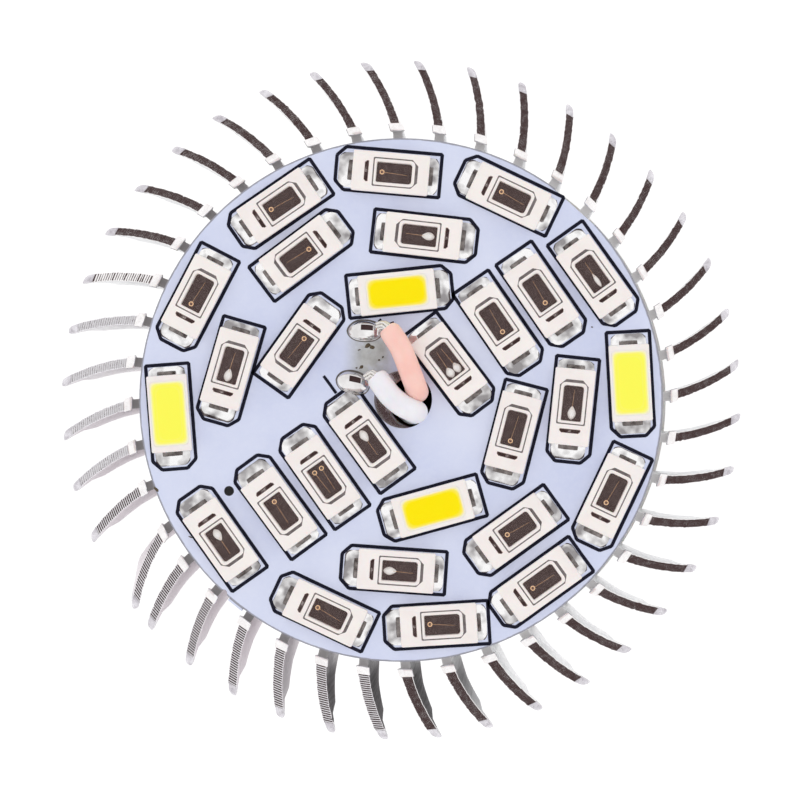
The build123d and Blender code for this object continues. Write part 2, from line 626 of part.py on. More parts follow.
# ------------------------------------------------------------------ driver
# through-holes: output wires, input wires, capacitor, inductor and resistor leads
CAP_IN = (-5.2, 45.5, 4.0, 11.4)       # x, z, radius, length
CAP_OUT = (6.4, 60.0, 2.6, 8.6)
COIL = (4.9, 47.0, 4.2, 8.6)
FUSE_X = -8.2
HOLES = [
    (PINK_ROUTE[-1][0], PINK_ROUTE[-1][2], CORE_WIRE_R + 0.02), (WHITE_ROUTE[-1][0], WHITE_ROUTE[-1][2], CORE_WIRE_R + 0.02),
    (-3.0, 37.8, 0.42), (3.0, 37.8, 0.42),
    (CAP_IN[0] - 1.75, CAP_IN[1], 0.32), (CAP_IN[0] + 1.75, CAP_IN[1], 0.32),
    (CAP_OUT[0] - 1.25, CAP_OUT[1], 0.28), (CAP_OUT[0] + 1.25, CAP_OUT[1], 0.28),
    (COIL[0] - 2.5, COIL[1], 0.32), (COIL[0] + 2.5, COIL[1], 0.32),
    (FUSE_X, 54.0, 0.30), (FUSE_X, 64.0, 0.30),
]
with BuildPart() as driver_board:
    with BuildSketch(Plane.XZ.offset(-DRV_Y1)):
        with Locations((0, (DRV_Z0 + DRV_Z1) / 2)):
            RectangleRounded(2 * DRV_X, DRV_Z1 - DRV_Z0, 0.6)
        for hx, hz, hr in HOLES:
            with Locations((hx, hz)):
                Circle(hr, mode=Mode.SUBTRACT)
    extrude(amount=DRV_Y1 - DRV_Y0)
driver_board.part.label = "driver_board"
export_step(driver_board.part, "parts/driver_board.step")

with BuildPart() as input_capacitor:
    cx, cz, cr, cl = CAP_IN
    with BuildSketch(Plane.XZ.offset(-(DRV_Y1 + 0.4))):
        with Locations((cx, cz)):
            Circle(cr)
    extrude(amount=-cl)
    fillet(input_capacitor.edges().filter_by(GeomType.CIRCLE), radius=0.4)
    with BuildSketch(Plane.XZ.offset(-(DRV_Y1 + 0.4))):
        with Locations((cx - 1.75, cz), (cx + 1.75, cz)):
            Circle(0.3)
    extrude(amount=DRV_Y1 + 0.4 - DRV_Y0 + 0.9)
input_capacitor.part.label = "input_capacitor"
export_step(input_capacitor.part, "parts/input_capacitor.step")

with BuildPart() as output_capacitor:
    cx, cz, cr, cl = CAP_OUT
    with BuildSketch(Plane.XZ.offset(-(DRV_Y1 + 0.4))):
        with Locations((cx, cz)):
            Circle(cr)
    extrude(amount=-cl)
    fillet(output_capacitor.edges().filter_by(GeomType.CIRCLE), radius=0.3)
    with BuildSketch(Plane.XZ.offset(-(DRV_Y1 + 0.4))):
        with Locations((cx - 1.25, cz), (cx + 1.25, cz)):
            Circle(0.25)
    extrude(amount=DRV_Y1 + 0.4 - DRV_Y0 + 0.9)
output_capacitor.part.label = "output_capacitor"
export_step(output_capacitor.part, "parts/output_capacitor.step")

# drum inductor: ferrite bobbin and its copper winding
with BuildPart() as inductor_core:
    cx, cz, cr, cl = COIL
    with BuildSketch(Plane.XZ.offset(-(DRV_Y1 + 0.3))):
        with Locations((cx, cz)):
            Circle(cr)
    extrude(amount=-1.4)
    with BuildSketch(Plane.XZ.offset(-(DRV_Y1 + 0.3))):
        with Locations((cx, cz)):
            Circle(2.0)
    extrude(amount=-cl)
    with BuildSketch(Plane.XZ.offset(-(DRV_Y1 + 0.3 + cl))):
        with Locations((cx, cz)):
            Circle(cr)
    extrude(amount=1.4)
    with BuildSketch(Plane.XZ.offset(-(DRV_Y1 + 0.3))):
        with Locations((cx - 2.5, cz), (cx + 2.5, cz)):
            Circle(0.3)
    extrude(amount=DRV_Y1 + 0.3 - DRV_Y0 + 0.9)
inductor_core.part.label = "inductor_core"
export_step(inductor_core.part, "parts/inductor_core.step")

with BuildPart() as inductor_winding:
    cx, cz, cr, cl = COIL
    with BuildSketch(Plane.XZ.offset(-(DRV_Y1 + 1.7))):
        with Locations((cx, cz)):
            Circle(3.7)
            Circle(2.0, mode=Mode.SUBTRACT)
    extrude(amount=-(cl - 2.8))
inductor_winding.part.label = "inductor_winding"
export_step(inductor_winding.part, "parts/inductor_winding.step")

# fusible resistor lying along the board's edge, with bent leads
with BuildPart() as fuse_resistor:
    with BuildSketch(Plane.XY.offset(56.2)):
        with Locations((FUSE_X, DRV_Y1 + 1.5)):
            Circle(1.15)
    extrude(amount=5.6)
    fillet(fuse_resistor.edges().filter_by(GeomType.CIRCLE), radius=0.35)
    for z_end, z_body in ((54.0, 56.2), (64.0, 61.8)):
        with BuildLine() as lead_path:
            FilletPolyline(
                (FUSE_X, DRV_Y0 - 0.8, z_end), (FUSE_X, DRV_Y1 + 1.5, z_end), (FUSE_X, DRV_Y1 + 1.5, z_body),
                radius=[0.6],
            )
        with BuildSketch(Plane(origin=lead_path.line @ 0, z_dir=lead_path.line % 0)):
            Circle(0.28)
        sweep(path=lead_path.line)
fuse_resistor.part.label = "fuse_resistor"
export_step(fuse_resistor.part, "parts/fuse_resistor.step")

# bridge rectifier on the solder side: body and four gull-wing leads
with BuildPart() as bridge_rectifier:
    with BuildSketch(Plane.XZ.offset(-(DRV_Y0 - 0.15))):
        with Locations((0, 42.0)):
            Rectangle(4.7, 3.9)
    extrude(amount=2.4)
    chamfer(bridge_rectifier.faces().sort_by(Axis.Y)[0].edges(), length=0.35)
    with BuildSketch(Plane.XZ.offset(-DRV_Y0)):
        with Locations((-1.27, 42.0 + 2.75), (1.27, 42.0 + 2.75), (-1.27, 42.0 - 2.75), (1.27, 42.0 - 2.75)):
            Rectangle(0.65, 1.7)
    extrude(amount=0.22)
bridge_rectifier.part.label = "bridge_rectifier"
export_step(bridge_rectifier.part, "parts/bridge_rectifier.step")

# driver chip on the solder side: body and eight leads
with BuildPart() as driver_chip:
    with BuildSketch(Plane.XZ.offset(-(DRV_Y0 - 0.12))):
        with Locations((0, 54.5)):
            Rectangle(4.9, 3.9)
    extrude(amount=1.5)
    chamfer(driver_chip.faces().sort_by(Axis.Y)[0].edges(), length=0.25)
    with BuildSketch(Plane.XZ.offset(-DRV_Y0)):
        with Locations((0, 54.5)):
            with GridLocations(1.27, 5.0, 4, 2):
                Rectangle(0.42, 1.4)
    extrude(amount=0.2)
driver_chip.part.label = "driver_chip"
export_step(driver_chip.part, "parts/driver_chip.step")

# small surface-mount resistors and capacitors on the solder side
with BuildPart() as small_components:
    with BuildSketch(Plane.XZ.offset(-DRV_Y0)):
        with Locations((-5.5, 58.5), (-5.5, 55.5), (-5.5, 52.5), (5.6, 54.0), (0.0, 60.5)):
            Rectangle(2.0, 1.25)
        with Locations((5.6, 51.0), (-5.4, 49.0)):
            Rectangle(3.2, 1.6)
    extrude(amount=0.6)
small_components.part.label = "small_components"
export_step(small_components.part, "parts/small_components.step")

# solder cones on the through-hole leads
with BuildPart() as driver_solder_joints:
    for hx, hz, hr in HOLES:
        with BuildSketch(Plane.XZ.offset(-DRV_Y0)):
            with Locations((hx, hz)):
                Circle(hr + 0.75)
        with BuildSketch(Plane.XZ.offset(-(DRV_Y0 - 0.55))):
            with Locations((hx, hz)):
                Circle(hr + 0.18)
        loft(ruled=True)
    with BuildSketch(Plane.XZ.offset(-DRV_Y0)):
        for hx, hz, hr in HOLES:
            with Locations((hx, hz)):
                Circle(hr)
    extrude(amount=1.0, mode=Mode.SUBTRACT)
driver_solder_joints.part.label = "driver_solder_joints"
export_step(driver_solder_joints.part, "parts/driver_solder_joints.step")

# ------------------------------------------------------------------ input wires
LIVE_ROUTE = [
    (-3.0, -3.5, 37.8), (-3.0, 2.0, 37.8), (-2.4, 3.4, 31.0), (0.6, 1.6, 20.0), (0.0, 0.0, 12.5), (0.0, 0.0, 5.8),
]
NEUTRAL_ROUTE = [
    (3.0, -3.5, 37.8), (3.0, 2.0, 37.8), (4.2, 3.2, 31.0), (6.4, 1.8, 21.0), (8.2, 0.3, 13.0), (8.8, 0.0, 9.1),
    (11.9, 0.0, 9.1),
]
LIVE_RADII = [1.6, 6.0, 7.0, 5.0]
NEUTRAL_RADII = [1.6, 6.0, 8.0, 4.0, 0.9]
INPUT_R, INPUT_CORE_R = 0.75, 0.40

with BuildPart() as live_wire:
    with BuildLine() as live_path:
        FilletPolyline(*([(LIVE_ROUTE[0][0], DRV_Y1 + 0.1, LIVE_ROUTE[0][2])] + LIVE_ROUTE[1:-1]
                         + [along(LIVE_ROUTE[-1], LIVE_ROUTE[-2], 2.6)]), radius=LIVE_RADII)
    with BuildSketch(Plane(origin=live_path.line @ 0, z_dir=live_path.line % 0)):
        Circle(INPUT_R)
        Circle(INPUT_CORE_R, mode=Mode.SUBTRACT)
    sweep(path=live_path.line)
live_wire.part.label = "live_wire"
export_step(live_wire.part, "parts/live_wire.step")

with BuildPart() as neutral_wire:
    with BuildLine() as neutral_path:
        FilletPolyline(*([(NEUTRAL_ROUTE[0][0], DRV_Y1 + 0.1, NEUTRAL_ROUTE[0][2])] + NEUTRAL_ROUTE[1:-2]
                         + [along(NEUTRAL_ROUTE[-2], NEUTRAL_ROUTE[-3], 1.8)]), radius=NEUTRAL_RADII[:-1])
    with BuildSketch(Plane(origin=neutral_path.line @ 0, z_dir=neutral_path.line % 0)):
        Circle(INPUT_R)
        Circle(INPUT_CORE_R, mode=Mode.SUBTRACT)
    sweep(path=neutral_path.line)
neutral_wire.part.label = "neutral_wire"
export_step(neutral_wire.part, "parts/neutral_wire.step")

with BuildPart() as input_conductors:
    for route, radii in ((LIVE_ROUTE, LIVE_RADII), (NEUTRAL_ROUTE, NEUTRAL_RADII)):
        with BuildLine() as core_path:
            FilletPolyline(*route, radius=radii)
        with BuildSketch(Plane(origin=core_path.line @ 0, z_dir=core_path.line % 0)):
            Circle(INPUT_CORE_R)
        sweep(path=core_path.line)
input_conductors.part.label = "input_conductors"
export_step(input_conductors.part, "parts/input_conductors.step")

# ------------------------------------------------------------------ screw cap
# thin rolled shell: lower curl, threaded part and plain skirt. The inside
# follows the rolled thread, one sheet thickness in.
THREAD_LINE_R = THREAD_CREST_R - THREAD_BEAD_R
turn_out = (THREAD_Z1 - THREAD_Z0) / THREAD_PITCH * 360
THREAD_ENDS = [
    (THREAD_LINE_R, 0.0, THREAD_Z0),
    (*turned((THREAD_LINE_R, 0.0), turn_out), THREAD_Z1),
]
with BuildPart() as cap_inside:
    with BuildSketch(Plane.XZ):
        with BuildLine():
            Polyline(
                (0, 6.0), (10.4, 6.0), (10.4, 6.75), (11.2, 7.03), (11.78, 7.70), (THREAD_ROOT_R - SHELL_T, 8.55),
                (THREAD_ROOT_R - SHELL_T, 22.2), (SKIRT_R - SHELL_T, 23.05), (SKIRT_R - SHELL_T, 27.0), (0, 27.0),
                (0, 6.0),
            )
        make_face()
    revolve(axis=Axis.Z)
    with BuildLine() as inner_thread_path:
        Helix(pitch=THREAD_PITCH, height=THREAD_Z1 - THREAD_Z0, radius=THREAD_LINE_R, center=(0, 0, THREAD_Z0))
    with BuildSketch(Plane(origin=inner_thread_path.line @ 0, z_dir=inner_thread_path.line % 0)):
        Circle(THREAD_BEAD_R - SHELL_T)
    sweep(path=inner_thread_path.line, is_frenet=True)
    with Locations(*THREAD_ENDS):
        Sphere(THREAD_BEAD_R - SHELL_T)

with BuildPart() as cap_shell:
    with BuildSketch(Plane.XZ):
        with BuildLine():
            Polyline(
                (0, 6.40), (10.4, 6.40), (11.35, 6.75), (12.05, 7.55), (THREAD_ROOT_R, 8.5), (THREAD_ROOT_R, 22.1),
                (SKIRT_R, 22.95), (SKIRT_R, Z_CAP_RIM), (0, Z_CAP_RIM), (0, 6.40),
            )
        make_face()
    revolve(axis=Axis.Z)
    # right-handed thread, rolled outwards, with rounded ends
    with BuildLine() as thread_path:
        Helix(pitch=THREAD_PITCH, height=THREAD_Z1 - THREAD_Z0, radius=THREAD_LINE_R, center=(0, 0, THREAD_Z0))
    with BuildSketch(Plane(origin=thread_path.line @ 0, z_dir=thread_path.line % 0)):
        Circle(THREAD_BEAD_R)
    sweep(path=thread_path.line, is_frenet=True)
    with Locations(*THREAD_ENDS):
        Sphere(THREAD_BEAD_R)
    add(cap_inside.part, mode=Mode.SUBTRACT)
cap_shell.part.label = "cap_shell"
export_step(cap_shell.part, "parts/cap_shell.step")

# dark insulator between the shell and the centre contact
with BuildPart() as cap_insulator:
    with BuildSketch(Plane.XZ):
        with BuildLine():
            Polyline(
                (1.3, 1.6), (4.4, 1.6), (5.4, 1.3), (6.4, 2.2), (10.0, 5.6), (10.35, 6.2), (10.35, 6.80), (11.1, 7.1),
                (11.1, 8.2), (1.3, 8.2), (1.3, 1.6),
            )
        make_face()
    revolve(axis=Axis.Z)
cap_insulator.part.label = "cap_insulator"
export_step(cap_insulator.part, "parts/cap_insulator.step")

# centre contact: flat button with a rounded edge and a hollow rivet stem
with BuildPart() as centre_contact:
    with BuildSketch(Plane.XZ):
        with BuildLine():
            Polyline((0, 0), (3.6, 0))
            ThreePointArc((3.6, 0), (4.25, 0.42), (4.4, 1.0))
            Polyline((4.4, 1.0), (4.4, 1.58), (1.25, 1.58), (1.25, 6.0), (0.45, 6.0), (0.45, 5.0), (0, 5.0), (0, 0))
        make_face()
    revolve(axis=Axis.Z)
centre_contact.part.label = "centre_contact"
export_step(centre_contact.part, "parts/centre_contact.step")
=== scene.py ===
import math

import bmesh
import bpy
import numpy as np
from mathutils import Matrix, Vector, geometry, noise


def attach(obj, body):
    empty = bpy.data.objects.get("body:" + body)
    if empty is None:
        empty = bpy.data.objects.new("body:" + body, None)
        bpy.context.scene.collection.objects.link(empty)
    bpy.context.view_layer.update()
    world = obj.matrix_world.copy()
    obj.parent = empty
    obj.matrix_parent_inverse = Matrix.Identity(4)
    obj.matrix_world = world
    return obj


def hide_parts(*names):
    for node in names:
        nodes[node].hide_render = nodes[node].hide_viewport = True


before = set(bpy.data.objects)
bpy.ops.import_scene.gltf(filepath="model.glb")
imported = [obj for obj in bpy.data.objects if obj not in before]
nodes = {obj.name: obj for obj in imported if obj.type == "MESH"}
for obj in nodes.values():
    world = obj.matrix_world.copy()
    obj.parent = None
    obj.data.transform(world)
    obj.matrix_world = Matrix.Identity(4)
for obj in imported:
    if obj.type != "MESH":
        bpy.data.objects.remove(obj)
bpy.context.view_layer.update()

MM = 0.001
rng = np.random.default_rng(28)

# ------------------------------------------------------------------ sizes (mm)
Z_BOARD = 80.0
Z_FRONT, Z_SEAT, Z_WEB, Z_REAR, Z_BEND = 80.0, 78.4, 74.5, 54.0, 68.0
N_FINS, FIN_PHASE, FIN_R, FIN_REAR_R = 40, 0.75, 25.2, 20.8
OUTLINE = ((20.8, 54.0), (22.0, 63.0), (23.65, 69.0), (24.0, 76.0), (25.2, 79.3))          # radius over the fins and height, from the rear to the front
WIRE_HOLE = (0.95, -0.12, 1.90)
RIM = 19.4 * MM
VIEW_X, VIEW_Y, VIEW_D = 9.0, -0.6, 345.0
CORE_R, BORE_R, RECESS_R, LIP, TIP = 17.5, 15.6, 19.95, 0.55, 0.7
BENT_FIN, BENT_TURN, BENT_PIVOT = 23, 14.5, 18.6
FIN_LINE = [(17.0, 0.0, 0.0, 0.45), (19.8, 0.0, 8.0, 0.34), (22.2, 0.775, 23.0, 0.30), (25.45, 2.72, 35.5, 0.27)]

# kind, x, y, turn, and how far the printed outline sits along and across from the package
LEDS = [
    ("red", -0.76, 16.80, 175.1, 0.19, -0.09), ("red", -9.02, 14.39, 214.5, 0.05, 0.00),
    ("red", -15.13, 7.66, 242.5, 0.14, 0.03), ("red", -5.61, -15.74, 154.7, 0.22, -0.09),
    ("red", 2.80, -16.65, 183.5, 0.17, 0.02), ("red", 10.26, -13.59, 215.7, 0.09, 0.01),
    ("red", 15.52, -7.09, 244.6, 0.13, 0.07), ("red", 7.97, 15.09, 154.5, 0.15, -0.09),
    ("red", -7.38, 10.83, 36.8, 0.17, -0.05), ("red", -9.00, -8.04, 126.2, 0.29, -0.08),
    ("red", 8.43, -9.70, 215.8, 0.14, 0.04), ("red", 10.39, 7.72, 304.5, 0.11, 0.10),
    ("red", -7.57, 4.03, 54.5, 0.27, -0.02), ("red", 7.19, 5.61, 304.5, 0.15, 0.08),
    ("red", 8.30, -2.39, 255.5, 0.20, 0.08),
    ("blue", -13.32, -10.33, 125.2, 0.25, -0.05), ("blue", 14.31, 9.14, 305.5, -0.01, 0.10),
    ("blue", 1.61, 12.15, 353.6, 0.15, 0.00), ("blue", -12.67, 2.30, 254.0, 0.21, 0.07),
    ("blue", -0.35, -12.65, 176.0, 0.21, -0.06), ("blue", 12.67, -0.52, 264.1, 0.20, 0.08),
    ("blue", -2.47, -3.06, 126.0, 0.19, -0.08),
    ("uv", 3.55, 2.66, 307.0, 0.20, -0.01), ("ir", -5.78, -5.71, 125.0, 0.18, -0.08),
    ("warm", -0.26, 7.97, 5.9, 0.19, 0.05), ("warm", 2.37, -8.03, 195.5, 0.13, -0.01),
    ("cool", -17.13, -1.00, 274.4, 0.25, 0.08), ("cool", 17.00, 1.26, 273.1, 0.07, 0.00),
]


# ------------------------------------------------------------------ mesh helpers
class Mesher:
    """Collects vertices (mm), faces, a material number and a smooth flag for each face."""

    def __init__(self):
        self.v, self.f, self.m, self.s = [], [], [], []

    def loop(self, pts):
        i = len(self.v)
        self.v.extend(tuple(map(float, p)) for p in pts)
        return list(range(i, i + len(pts)))

    def face(self, idx, mat=0, smooth=True):
        self.f.append(tuple(idx))
        self.m.append(mat)
        self.s.append(smooth)

    def bridge(self, a, b, mat=0, smooth=True, closed=True):
        n = len(a)
        for i in range(n if closed else n - 1):
            j = (i + 1) % n
            self.face((a[i], a[j], b[j], b[i]), mat, smooth)

    def holes(self, outer, inners, mat=0, smooth=False, flip=False):
        loops = [outer] + inners
        flat = [i for lp in loops for i in lp]
        tris = geometry.tessellate_polygon([[Vector(self.v[i]) for i in lp] for lp in loops])
        for t in tris:
            t = [flat[k] for k in t]
            a, b, c = (np.array(self.v[i]) for i in t)
            if (np.cross(b - a, c - a)[2] < 0) != flip:
                t.reverse()
            self.face(t, mat, smooth)

    def add(self, other, turn=0.0, at=(0, 0, 0), scale=1.0):
        c, s = math.cos(math.radians(turn)), math.sin(math.radians(turn))
        i = len(self.v)
        for x, y, z in other.v:
            x, y, z = x * scale, y * scale, z * scale
            self.v.append((at[0] + c * x - s * y, at[1] + s * x + c * y, at[2] + z))
        self.f.extend(tuple(k + i for k in f) for f in other.f)
        self.m.extend(other.m)
        self.s.extend(other.s)

    def build(self, name, mats, sharp=None, recalc=False, merge=None, attrs=None):
        me = bpy.data.meshes.new(name)
        me.from_pydata([(x * MM, y * MM, z * MM) for x, y, z in self.v], [], self.f)
        for mt in mats:
            me.materials.append(mt)
        me.polygons.foreach_set("material_index", self.m)
        me.polygons.foreach_set("use_smooth", self.s)
        for key, values in (attrs or {}).items():
            at = me.attributes.new(key, "FLOAT", "POINT")
            at.data.foreach_set("value", np.asarray(values, np.float32))
        if recalc or merge:
            bm = bmesh.new()
            bm.from_mesh(me)
            if merge:
                bmesh.ops.remove_doubles(bm, verts=bm.verts, dist=merge * MM)
            if recalc:
                bmesh.ops.recalc_face_normals(bm, faces=bm.faces)
            bm.to_mesh(me)
            bm.free()
        if sharp is not None:
            me.set_sharp_from_angle(angle=math.radians(sharp))
        me.validate()
        me.update()
        ob = bpy.data.objects.new(name, me)
        bpy.context.scene.collection.objects.link(ob)
        return ob


def piece(ob, slot, *replaced):
    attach(ob, "root")
    if replaced:
        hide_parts(*replaced)
    return ob


def rect(x0, x1, hy, z, near, far):
    """A rectangle of 16 points, counter-clockwise; each end's corners are ("r", radius) or ("c", chamfer)."""
    pts = []
    for cx, cy, a0, (kind, s) in ((x1, hy, 0, near), (x0, hy, 90, far), (x0, -hy, 180, far), (x1, -hy, 270, near)):
        sx, sy = (1 if a0 in (0, 270) else -1), (1 if a0 in (0, 90) else -1)
        ox, oy = cx - sx * s, cy - sy * s
        arc = [(ox + s * math.cos(math.radians(a0 + t)), oy + s * math.sin(math.radians(a0 + t))) for t in (0, 30, 60, 90)]
        if kind == "c":
            p, q = arc[0], arc[3]
            arc = [(p[0] + (q[0] - p[0]) * t, p[1] + (q[1] - p[1]) * t) for t in (0, 1 / 3, 2 / 3, 1)]
        pts.extend((x, y, z) for x, y in arc)
    return pts


def lump(x, y, z, freq, seed):
    return noise.noise(Vector((x * freq + seed * 7.13, y * freq - seed * 3.7, z * freq + seed * 1.9)))


# ------------------------------------------------------------------ material helpers
class Mat:
    """A node material around one Principled shader."""

    def __init__(self, name, base=(0.8, 0.8, 0.8), metallic=0.0, rough=0.5, **sockets):
        self.mat = bpy.data.materials.new(name)
        self.mat.use_nodes = True
        self.nt = self.mat.node_tree
        self.bsdf = self.nt.nodes["Principled BSDF"]
        self.set("Base Color", (*base, 1.0))
        self.set("Metallic", metallic)
        self.set("Roughness", rough)
        for k, v in sockets.items():
            self.set(k.replace("_", " "), v)
        self.mat.diffuse_color = (*base, 1.0)

    def set(self, socket, value):
        self.bsdf.inputs[socket].default_value = value

    def node(self, kind, **props):
        n = self.nt.nodes.new(kind)
        for k, v in props.items():
            setattr(n, k, v)
        return n

    def link(self, a, b):
        self.nt.links.new(a, b)

    def position(self):
        return self.node("ShaderNodeTexCoord").outputs["Object"]

    def axes(self):
        n = self.node("ShaderNodeSeparateXYZ")
        self.link(self.position(), n.inputs[0])
        return n.outputs

    def math(self, op, a, b=None, c=None, clamp=False):
        n = self.node("ShaderNodeMath", operation=op, use_clamp=clamp)
        for i, x in enumerate((a, b, c)):
            if x is None:
                continue
            if isinstance(x, (int, float)):
                n.inputs[i].default_value = x
            else:
                self.link(x, n.inputs[i])
        return n.outputs[0]

    def noise(self, size_mm, detail=3.0, rough=0.55, stretch=(1, 1, 1), distort=0.0):
        m = self.node("ShaderNodeMapping")
        m.inputs["Scale"].default_value = stretch
        self.link(self.position(), m.inputs[0])
        n = self.node("ShaderNodeTexNoise")
        n.inputs["Scale"].default_value = 1000.0 / size_mm
        n.inputs["Detail"].default_value = detail
        n.inputs["Roughness"].default_value = rough
        n.inputs["Distortion"].default_value = distort
        self.link(m.outputs[0], n.inputs["Vector"])
        return n.outputs["Fac"]

    def voronoi(self, size_mm, feature="F1"):
        n = self.node("ShaderNodeTexVoronoi", feature=feature)
        n.inputs["Scale"].default_value = 1000.0 / size_mm
        self.link(self.position(), n.inputs["Vector"])
        return n.outputs["Distance"]

    def span(self, x, lo, hi, a=0.0, b=1.0, smooth=True):
        n = self.node("ShaderNodeMapRange", interpolation_type="SMOOTHSTEP" if smooth else "LINEAR")
        self.link(x, n.inputs["Value"])
        for k, v in (("From Min", lo), ("From Max", hi), ("To Min", a), ("To Max", b)):
            n.inputs[k].default_value = v
        return n.outputs["Result"]

    def ramp(self, x, stops):
        n = self.node("ShaderNodeValToRGB")
        el = n.color_ramp.elements
        while len(el) < len(stops):
            el.new(0.5)
        for e, (p, c) in zip(el, stops):
            e.position = p
            e.color = (*c, 1.0)
        self.link(x, n.inputs[0])
        return n.outputs[0]

    def mix(self, fac, a, b, kind="MIX"):
        n = self.node("ShaderNodeMix", data_type="RGBA", blend_type=kind)
        for sock, x in ((n.inputs[0], fac), (n.inputs[6], a), (n.inputs[7], b)):
            if isinstance(x, (int, float)):
                sock.default_value = x
            elif isinstance(x, tuple):
                sock.default_value = (*x, 1.0)
            else:
                self.link(x, sock)
        return n.outputs[2]

    def color(self, out):
        self.link(out, self.bsdf.inputs["Base Color"])

    def rough(self, out):
        self.link(out, self.bsdf.inputs["Roughness"])

    def bump(self, height, dist_mm, strength=1.0):
        n = self.node("ShaderNodeBump")
        n.inputs["Distance"].default_value = dist_mm * MM
        n.inputs["Strength"].default_value = strength
        self.link(height, n.inputs["Height"])
        if self.bsdf.inputs["Normal"].is_linked:
            self.link(self.bsdf.inputs["Normal"].links[0].from_socket, n.inputs["Normal"])
        self.link(n.outputs[0], self.bsdf.inputs["Normal"])

    def attr(self, name):
        return self.node("ShaderNodeAttribute", attribute_name=name).outputs["Fac"]


def mottled(name, base, other, size_mm, metallic=0.0, rough=(0.35, 0.5), bump_mm=0.0, fine_mm=None, **sockets):
    """A plain material with mottled colour, uneven roughness and a fine surface texture."""
    m = Mat(name, base, metallic, sum(rough) / 2, **sockets)
    n = m.noise(size_mm, 4.0)
    m.color(m.ramp(n, [(0.3, base), (0.72, other)]))
    m.rough(m.span(m.noise(size_mm * 0.6, 3.0), 0.3, 0.7, rough[0], rough[1]))
    if bump_mm:
        m.bump(m.noise(fine_mm or size_mm * 0.2, 2.0), bump_mm)
    return m.mat


# ------------------------------------------------------------------ materials
def make_turned():
    """Turned front faces of the fins: bright metal with fine concentric tool marks."""
    m = Mat("turned_aluminium", (0.90, 0.86, 0.85), 1.0, 0.16)
    x, y, z = m.axes()
    r = m.math("SQRT", m.math("ADD", m.math("MULTIPLY", x, x), m.math("MULTIPLY", y, y)))
    wob = m.math("MULTIPLY", m.noise(0.5, 2.0), 0.00004)
    wave = m.math("SINE", m.math("MULTIPLY", m.math("ADD", r, wob), 2 * math.pi / (0.058 * MM)))
    m.bump(wave, 0.0005, 0.5)
    m.bump(m.noise(0.35, 2.0), 0.002, 0.5)
    m.color(m.ramp(m.noise(0.45, 4.0, 0.6), [(0.30, (0.85, 0.82, 0.82)), (0.62, (0.95, 0.93, 0.93))]))
    m.rough(m.span(m.noise(0.3, 3.0), 0.3, 0.75, 0.09, 0.17))
    return m.mat


def make_extruded():
    """Extruded flanks of the fins: die lines along the bulb's axis, with painted dark reflection on the fins at the
    lower side and painted shade on the fins towards the lower left.
    """
    m = Mat("extruded_aluminium", (0.92, 0.92, 0.93), 1.0, 0.33)
    lines = m.noise(0.16, 3.0, 0.6, (1, 1, 0.012))
    fine = m.noise(0.05, 2.0, 0.6, (1, 1, 0.01))
    x, y, z = m.axes()
    # painted reflection: the flanks of the fins at the lower side are painted dark and made non-metallic, in place of
    # the dark they reflect
    dull = m.math("MULTIPLY", m.span(y, -0.0185, -0.0212), m.math("MULTIPLY", m.span(x, -0.0095, -0.0060), m.span(x, 0.0085, 0.0035)))
    flank_tone = m.ramp(lines, [(0.32, (0.80, 0.80, 0.82)), (0.66, (0.955, 0.955, 0.96))])
    dark_reflection_tone = m.ramp(lines, [(0.30, (0.15, 0.14, 0.145)), (0.70, (0.30, 0.29, 0.295))])
    # painted shade: the flanks of the fins towards the lower left are painted pale grey and made less metallic
    shade = m.math("MULTIPLY", m.span(x, 0.004, -0.010), m.span(y, 0.010, -0.004))
    flank_tone = m.mix(m.math("MULTIPLY", shade, 0.85), flank_tone, (0.84, 0.79, 0.82))
    m.color(m.mix(m.math("MULTIPLY", dull, 0.95), flank_tone, dark_reflection_tone))
    m.link(m.math("SUBTRACT", 1.0, m.math("MAXIMUM", m.math("MULTIPLY", shade, 0.85), dull)), m.bsdf.inputs["Metallic"])
    m.set("Specular IOR Level", 0.0)
    m.rough(m.span(m.noise(1.6, 4.0), 0.3, 0.7, 0.26, 0.42))
    m.bump(lines, 0.012, 0.6)
    m.bump(fine, 0.004, 0.5)
    return m.mat


def make_seat():
    """Front end of the fins beside the board: rubbed metal, with painted shade: bright towards the right, painted
    greyer towards the left.
    """
    m = Mat("rubbed_aluminium_painted_shade", (0.90, 0.89, 0.90), 1.0, 0.5)
    x, y, z = m.axes()
    # painted shade: greyer towards the left side of the bulb, bright towards the right
    side = m.span(m.math("ADD", x, m.math("MULTIPLY", m.noise(1.5, 2.0), 0.004)), -0.012, 0.014)
    m.color(m.ramp(side, [(0.0, (0.42, 0.40, 0.41)), (1.0, (0.93, 0.92, 0.93))]))
    m.rough(m.span(m.noise(0.5, 3.0), 0.3, 0.7, 0.42, 0.56))
    m.bump(m.noise(0.3, 2.0), 0.003, 0.5)
    return m.mat


